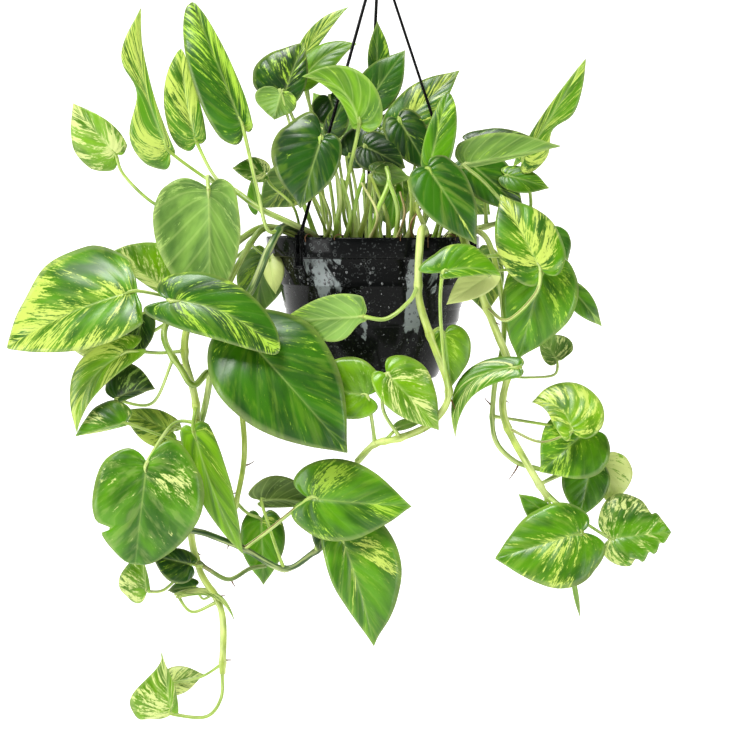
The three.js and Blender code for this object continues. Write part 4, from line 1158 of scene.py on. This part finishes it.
# Stalks of the crown whose leaves are hidden: colour, radius, and the way from the foot in the mix up to
# behind the leaves.
CROWN_STALKS = [
    (SPROUT, 3.0, [[-52, -30], [-60, -38, 22], [-72, -42, 48]]),
    (PEA, 1.9, [[-44, -44], [-38, -54, 16], [-50, -58, 50]]),
    (SPROUT, 3.3, [[-34, -50], [-31, -62, 18], [-26, -64, 50]]),
    (SPROUT, 2.2, [[-26, -56], [-20, -70, 20], [-28, -68, 52]]),
    (SPROUT, 2.6, [[-16, -54], [-17, -66, 22], [-8, -66, 56]]),
    (PEA, 3.1, [[-14, -44], [-6, -54, 22], [-2, -56, 56]]),
    (STRAW, 1.6, [[-4, -58], [4, -72, 20], [-10, -70, 48]]),
    (SPROUT, 3.1, [[0, -54], [4, -70, 22], [14, -68, 48], [12, -60, 62]]),
    (PEA, 2.4, [[14, -50], [12, -60, 20], [-2, -58, 54]]),
    (RUST, 1.4, [[20, -62], [28, -74, 20], [24, -74, 40]]),
    (SPROUT, 2.8, [[20, -58], [22, -70, 24], [14, -72, 50]]),
    (PEA, 2.9, [[30, -56], [36, -70, 20], [32, -72, 50]]),
    (RUST, 1.4, [[38, -56], [34, -70, 12], [46, -76, 30]]),
    (PEA, 2.6, [[44, -50], [46, -68, 8], [39, -78, 30], [53, -76, 50]]),
    (SPROUT, 2.6, [[54, -44], [60, -56, 20], [58, -60, 46]]),
    (SPROUT, 2.9, [[-2, -20], [-2, -22, 30], [4, -24, 70]]),
    (PEA, 2.2, [[22, -20], [22, -24, 30], [14, -24, 76]]),
    (STRAW, 1.6, [[66, -30], [76, -40, 14], [80, -44, 40]]),
]


def make_aerial_roots():
    draw = np.random.default_rng(23)
    piece = Piece()

    def knobbly(distance, length):
        return 1 - 0.7 * distance / length + 0.1 * np.sin(distance * 2.1)

    def thin(distance, length):
        return 0.8 * (1 - 0.6 * distance / length)

    for vine, place, heading, length in AERIAL_ROOTS:
        start = on_vine(vine, place)
        out = direction(heading)
        bent = out + draw.uniform(-0.5, 0.5, 3)
        path = [start, start + out * length * 0.45, start + out * length * 0.7 + bent * length * 0.3]
        tube(piece, path, knobbly, 7, 1.2, tone=linear(AERIAL_TONE), seed=length)
    for azimuth, drop in RIM_ROOTS:
        outward, aside = around(math.radians(azimuth))
        sway = draw.uniform(-5, 5, 3)
        over_rim = [(84, -10), (95, 2.2), (101.2, 0.5), (101, -drop)]
        path = [outward * out + aside * drift + (0, 0, height)
                for (out, height), drift in zip(over_rim, (*sway, sway[2]))]
        tube(piece, path, thin, 7, 1.5, tone=linear(RIM_ROOT_TONE), seed=drop)
    piece.make("aerial_roots", [ROOT])


def make_crown_stalks():
    """The hidden leaves' stalks. Each third one has a dried sheath round its lower part."""
    piece = Piece()
    for number, (tone, thick, path) in enumerate(CROWN_STALKS):
        sheath = 0.9 if number % 3 == 0 else 0

        def radius(distance, length):
            return thick * (1 - 0.3 * distance / length + 0.35 * bump(distance, 8, 9))

        def paint(distance, length):
            return columns(0.4, 0.5 * bump(distance, 10, 2), sheath * (distance < 0.45 * length))

        tube(piece, rooted(path), radius, 10, 3, groove=0.25, paint=paint, tone=linear(tone),
             pale=linear(STALK_PALE), seed=number * 2.3)
    piece.make("crown_stalks", [STALK])


# ---------------------------------------------------------------- pot and mix
# The pot's wall from the foot up: two low ridges, the step under the rim band, and its rolled edge.
POT_OUTSIDE = [
    (50, -POT_HEIGHT + 3), (53, -POT_HEIGHT), (57, -POT_HEIGHT), (60, -131), (61.5, -129), (79, -80.6),
    (79.8, -79.2), (80.6, -78.2), (82, -67.2), (82.4, -66.2), (83, -65.4), (87.2, -44.2), (88, -43.6),
    (88.2, -42.6), (88, -41.8), (92.4, -19.4), (93, -18.6), (96.6, -18.2), (98, -17.8), (98.6, -17),
    (99.2, -9), (99.8, -2), (99.7, -0.6), (99.2, 0), (98.4, 0),
]
# Its inside from the rim down.
POT_INSIDE = [
    (97.9, -0.6), (97.6, -4), (96.4, -15), (91, -16.5), (86, -43), (80, -67), (77.5, -80), (58.5, -130),
]
# Grey patches on the wall, dried water film at the back and painted reflections of the softboxes at the
# front: azimuth, half width in degrees, lowest, highest.
FILMS_AND_REFLECTIONS = [
    (-116, 11, -74, -19), (-108, 7, -22, -2), (-63, 8, -104, -19), (-52, 5, -70, -19), (-96, 4, -130, -78),
    (-70, 5, -136, -84), (-134, 6, -52, -19), (40, 8, -66, -19), (120, 6, -74, -19), (168, 5, -60, -19),
]
FILM_AND_REFLECTION_FADE = 24  # height over which each patch thins out at its lower end, painted reflection and film alike
FILM_AND_REFLECTION_STRENGTH = 0.55
# Water drops: how many, how far below the rim they start, over what height, and their sizes.
BAND_DROPS = (300, 19.5, 23, (0.45, 1.35))
WALL_DROPS = (120, 45, 70, (0.3, 0.8))
# The wall's radius at so many millimetres below the rim, for the drops to sit on.
WALL_DEPTH = [18, 42, 44, 66, 79, 130]
WALL_RADIUS = [92.6, 88.1, 87.4, 82.9, 79.8, 61]
# A drop's rings from the wall out: radius and how far it stands out, as parts of the drop's size.
DROP_RINGS = [(1, 0), (0.86, 0.3), (0.5, 0.5)]
DROP_TOP = 0.56
# The foot and side of the mix, which follow the pot's inside.
MIX_FOOT = -128
MIX_SIDE = [(57, MIX_FOOT), (76.5, -80), (79, -67), (85, -43), (89, -17), (95.2, -14.8)]
LUMPS = [(31, 1.5), (13, 1.1), (5.3, 0.6)]  # the mix's lumps: how far apart and how high
MIX_RADIUS = 92  # of its uneven top
MIX_STEP = 4
CHIP_COUNT = 520
CHIP_RADIUS = 90  # how far from the middle chips lie
BARK_SIZE = ((1.2, 1.0, 0.4), (4.2, 2.4, 1.0))  # half a chip's least and greatest length, width, height
PERLITE_SIZE = (0.8, 1.8)
PERLITE_SHARE = 0.16
BARK_TONES = [(96, 66, 42), (70, 46, 30), (120, 86, 56), (52, 36, 24)]
PERLITE_TONE = (206, 202, 190)
BOX_FACES = [(0, 1, 3, 2), (4, 6, 7, 5), (0, 4, 5, 1), (2, 3, 7, 6), (0, 2, 6, 4), (1, 5, 7, 3)]


def make_pot():
    piece = Piece()
    foot, floor = (0, -POT_HEIGHT + 3), (0, -130)
    turned(piece, [foot, *POT_OUTSIDE, *POT_INSIDE, floor], 144)
    x, y, z = piece.points[0].T
    azimuth = np.degrees(np.arctan2(y, x))
    # The paint field's first number: the grey patches, painted reflections of the softboxes at the front and
    # water film at the back.
    film_and_reflection = 0
    for middle, reach, low, high in FILMS_AND_REFLECTIONS:
        tall = np.clip((z - low) / FILM_AND_REFLECTION_FADE, 0, 1) * (z < high)
        film_and_reflection = np.maximum(film_and_reflection, np.clip(1.5 - np.abs(azimuth - middle) / reach, 0, 1) * FILM_AND_REFLECTION_STRENGTH * tall)
    piece.fields["paint"][0] = columns(film_and_reflection, 0, 0)
    piece.make("pot_body", [POT_PLASTIC], ["pot"])


def make_drops():
    """Water drops on the pot's wall, most of them in the band under the rim."""
    draw = np.random.default_rng(11)
    piece = Piece()
    turn = circle(9)[:, None]
    for (count, start, height, sizes), crowding in ((BAND_DROPS, 1), (WALL_DROPS, 1.4)):
        for _ in range(count):
            depth = start + height * draw.random() ** crowding
            outward, aside = around(draw.uniform(0, 2 * math.pi))
            size = draw.uniform(*sizes)
            centre = outward * (np.interp(depth, WALL_DEPTH, WALL_RADIUS) - 0.1) - (0, 0, depth)
            along_wall = outward * 0.2 + (0, 0, 1)
            spokes = np.cos(turn) * aside + 1.2 * np.sin(turn) * along_wall
            rings = [centre + size * (radius * spokes + out * outward) for radius, out in DROP_RINGS]
            piece.add_rings(np.array(rings), centre - 0.2 * outward, centre + size * DROP_TOP * outward)
    piece.make("pot_drops", [DROPS])


def make_soil():
    """The mix: an uneven crumbly top over the pot's filling."""
    draw = np.random.default_rng(5)
    piece = Piece()
    surface = [(radius, 0) for radius in range(MIX_RADIUS, -1, -MIX_STEP)]
    turned(piece, [(0, MIX_FOOT), *MIX_SIDE, *surface], 96)
    points = piece.points[0]
    x, y = points[:, 0], points[:, 1]
    lumps = 0
    for wavelength, depth in LUMPS:
        for _ in range(3):
            heading = draw.uniform(0, 2 * math.pi)
            wave = x * math.cos(heading) + y * math.sin(heading)
            lumps = lumps + depth / 2 * np.sin(2 * math.pi * wave / wavelength + draw.uniform(0, 6))
    points[:, 2] = np.where(points[:, 2] == 0, soil_height(np.hypot(x, y)) + lumps - 1, points[:, 2])
    piece.make("soil_mix", [MIX], ["soil"])
    make_chips(draw)


def make_chips(draw):
    """Bark chips, shreds and perlite that lie on the mix."""
    chips = Piece()
    for _ in range(CHIP_COUNT):
        spread, turn = CHIP_RADIUS * math.sqrt(draw.random()), draw.uniform(0, 2 * math.pi)
        perlite = draw.random() < PERLITE_SHARE
        size = draw.uniform(*PERLITE_SIZE, 3) if perlite else draw.uniform(*BARK_SIZE)
        corners = np.array(SIGNS) * size * draw.uniform(0.6, 1.1, (8, 3))
        heading, tilt = draw.uniform(0, math.pi), draw.uniform(-0.5, 0.5)
        tumble = np.array(Euler((tilt, 0, heading)).to_matrix())
        place = (spread * math.cos(turn), spread * math.sin(turn), soil_height(spread) + 0.4)
        tone = PERLITE_TONE if perlite else BARK_TONES[int(draw.integers(0, len(BARK_TONES)))]
        chips.add(corners @ tumble.T + place, BOX_FACES, tone=linear(tone))
    chips.make("soil_chips", [CHIPS])


# ---------------------------------------------------------------- hanger
STRAND_RADIUS = 1.65
CLIP_HALF = 4.5  # half the clip's width
CLIP_LEG = (RIM_RADIUS + 0.3, RIM_RADIUS + 2.5)  # its outer leg, from the pot's axis
CLIP_HOOK = (RIM_RADIUS - 5.4, RIM_RADIUS - 3.2)  # and the one inside the rim
CLIP_TOP = 2.6
# The hub's outline: radius and height over its foot.
HUB_OUTLINE = [(7.6, 0), (8.6, 0.6), (8.9, 2), (8.2, 3), (7.6, 7.6), (7.8, 8.6), (7.4, 10.2), (6.4, 11)]


def make_strand(name, azimuth):
    """One strand: a flat strap from the hub to a ribbed clip that hooks over the rim."""
    outward, aside = around(math.radians(azimuth))
    piece = Piece()

    def place(point):
        return outward * point[0] + aside * point[1] + (0, 0, point[2])

    def box(near, far, half, low, high, middle=0, ease=0.35):
        """A box of the clip, from near to far off the axis and as wide on both sides of its middle."""
        add_box(piece, (near, middle - half, low), (far, middle + half, high), place, ease)

    box(*CLIP_LEG, CLIP_HALF, -CLIP_DROP, CLIP_TOP - 0.2)
    box(CLIP_HOOK[0], CLIP_LEG[1], CLIP_HALF, 0.3, CLIP_TOP)
    box(*CLIP_HOOK, CLIP_HALF, -8, CLIP_TOP - 0.2)
    for rib in (-2.8, 2.8):
        box(CLIP_LEG[1] - 0.2, CLIP_LEG[1] + 0.8, 0.5, -CLIP_DROP + 2, 1, rib)
    box(CLIP_LEG[0], CLIP_LEG[1] + 0.6, CLIP_HALF + 0.9, -CLIP_DROP - 0.4, -CLIP_DROP + 2.2)
    box(RIM_RADIUS - 3.1, RIM_RADIUS + 1.1, 3.2, 2.2, 6.4, ease=0.8)
    foot = outward * (RIM_RADIUS - 1) + (0, 0, 3)
    hub = np.array([*HOOK_BEARING[:2], HUB_BOTTOM - 0.9]) + outward * STRAND_SPREAD
    path = [foot, foot + (hub - foot) * 0.33, foot + (hub - foot) * 0.66, hub]

    def radius(distance, length):
        return STRAND_RADIUS + 0.5 * bump(distance, 0, 7) + 0.35 * bump(distance, length, 6)

    tube(piece, path, radius, 8, 6, flat=0.8)
    piece.make(name + "_fine", [HANGER_PLASTIC], [name])


def make_hook():
    """The moulded hub with its collar and ribs, and the open hook over it."""
    x, y, z = HOOK_BEARING
    piece = Piece()
    middle = z + HOOK_ROD - HOOK_BEND
    path = [(x, y, HUB_TOP - 2), (x, y, HUB_TOP + 6)]
    for degrees in range(-40, 201, 24):
        turn = math.radians(degrees)
        path.append((x + HOOK_BEND * math.cos(turn), y, middle + HOOK_BEND * math.sin(turn)))

    def radius(distance, length):
        return HOOK_ROD * (1 + 0.15 * bump(distance, 0, 5) + 0.12 * bump(distance, length, 4))

    tube(piece, path, radius, 14, 1.5)
    hub = [(radius, HUB_BOTTOM + height) for radius, height in HUB_OUTLINE]
    turned(piece, [(0, HUB_BOTTOM), *hub, (0, HUB_TOP)], 32, centre=(x, y))
    piece.make("hanger_hook_fine", [HANGER_PLASTIC], ["hanger_hook"])


# ---------------------------------------------------------------- studio
CAMERA = (2, -1400, 18)
TARGET = (2, 0, -122)
SENSOR = 36
LENS = 71.6
AMBIENT = 0.17
FLOOR = -1450  # height of the floor under the pot
BACKDROP = 2600  # distance from the pot to the backdrop, and the radius of the sweep up to it
LIT = (0, 0, -150)  # where the lights are aimed
# Each light's place, its width and height in metres, and its power.
LIGHTS = {
    "key": ((-700, -1300, 1800), (0.9, 0.9), 66),
    "left_box": ((-1750, -1150, -250), (0.75, 1.2), 18),
    "right_box": ((1550, -1400, -350), (0.5, 1.2), 13),
}


def world_place(point):
    return Vector(RIM + np.array(point, float) * MM)


def put_in(name, data, place=None, target=None):
    """An object with this data in the scene, aimed from its place at a target if it has one."""
    made = bpy.data.objects.new(name, data)
    bpy.context.scene.collection.objects.link(made)
    if target:
        made.location = world_place(place)
        made.rotation_euler = (world_place(target) - made.location).to_track_quat("-Z", "Y").to_euler()
    return made


def make_camera():
    data = bpy.data.cameras.new("camera")
    data.sensor_width = SENSOR
    data.lens = LENS
    data.clip_end = 50
    bpy.context.scene.camera = put_in("camera", data, CAMERA, TARGET)


def make_lights():
    for name, (place, (wide, tall), power) in LIGHTS.items():
        data = bpy.data.lights.new(name, "AREA")
        data.shape = "RECTANGLE"
        data.size = wide
        data.size_y = tall
        data.energy = power
        put_in(name, data, place, LIT)


def make_world():
    """White where the camera sees it, and dimmer as the light that comes from all around."""
    world = bpy.data.worlds.new("studio")
    bpy.context.scene.world = world
    world.use_nodes = True
    nodes, links = world.node_tree.nodes, world.node_tree.links
    white = nodes["Background"]
    white.inputs["Color"].default_value = (1, 1, 1, 1)
    soft = nodes.new("ShaderNodeBackground")
    soft.inputs["Strength"].default_value = AMBIENT
    rays = nodes.new("ShaderNodeLightPath")
    both = nodes.new("ShaderNodeMixShader")
    links.new(rays.outputs["Is Camera Ray"], both.inputs[0])
    links.new(soft.outputs[0], both.inputs[1])
    links.new(white.outputs[0], both.inputs[2])
    links.new(both.outputs[0], nodes["World Output"].inputs["Surface"])


def make_floor():
    """A white floor that sweeps up into the backdrop."""
    look = Look("floor")
    colour = look.mix(look.noise(look.place(), 1.5, 3), (240, 240, 238), (246, 246, 245))
    look.finish(colour, 0.8, None, Emission_Strength=0.7, Emission_Color=(1, 1, 1, 1))
    outline = [(-6 * BACKDROP, FLOOR), (0, FLOOR)]
    for degrees in range(0, 91, 6):
        turn = math.radians(degrees)
        outline.append((BACKDROP * math.sin(turn), FLOOR + BACKDROP * (1 - math.cos(turn))))
    outline.append((BACKDROP, FLOOR + 2.5 * BACKDROP))
    points = [world_place((x, y, z)) for y, z in outline for x in (-6 * BACKDROP, 6 * BACKDROP)]
    mesh = bpy.data.meshes.new("floor")
    mesh.from_pydata(points, [], [(i, i + 1, i + 3, i + 2) for i in range(0, len(points) - 2, 2)])
    mesh.shade_smooth()
    mesh.materials.append(look.material)
    put_in("floor", mesh)


# ---------------------------------------------------------------- the plant
make_pot()
make_drops()
make_soil()
make_hook()
for strand, azimuth in STRANDS.items():
    make_strand(strand, azimuth)
make_aerial_roots()
make_crown_stalks()
for number, vine_name in enumerate(VINES):
    make_vine(vine_name, 10 * number)
for number, (leaf_name, leaf_shape) in enumerate(LEAVES.items(), 1):
    make_leaf(leaf_name, leaf_shape, [leaf_name], number)
for number, (leaf_name, leaf_shape) in enumerate(EXTRA_LEAVES.items(), 101):
    make_leaf(leaf_name, leaf_shape, [], number)
bpy.context.scene.view_settings.view_transform = "Standard"
make_world()
make_lights()
make_floor()
make_camera()
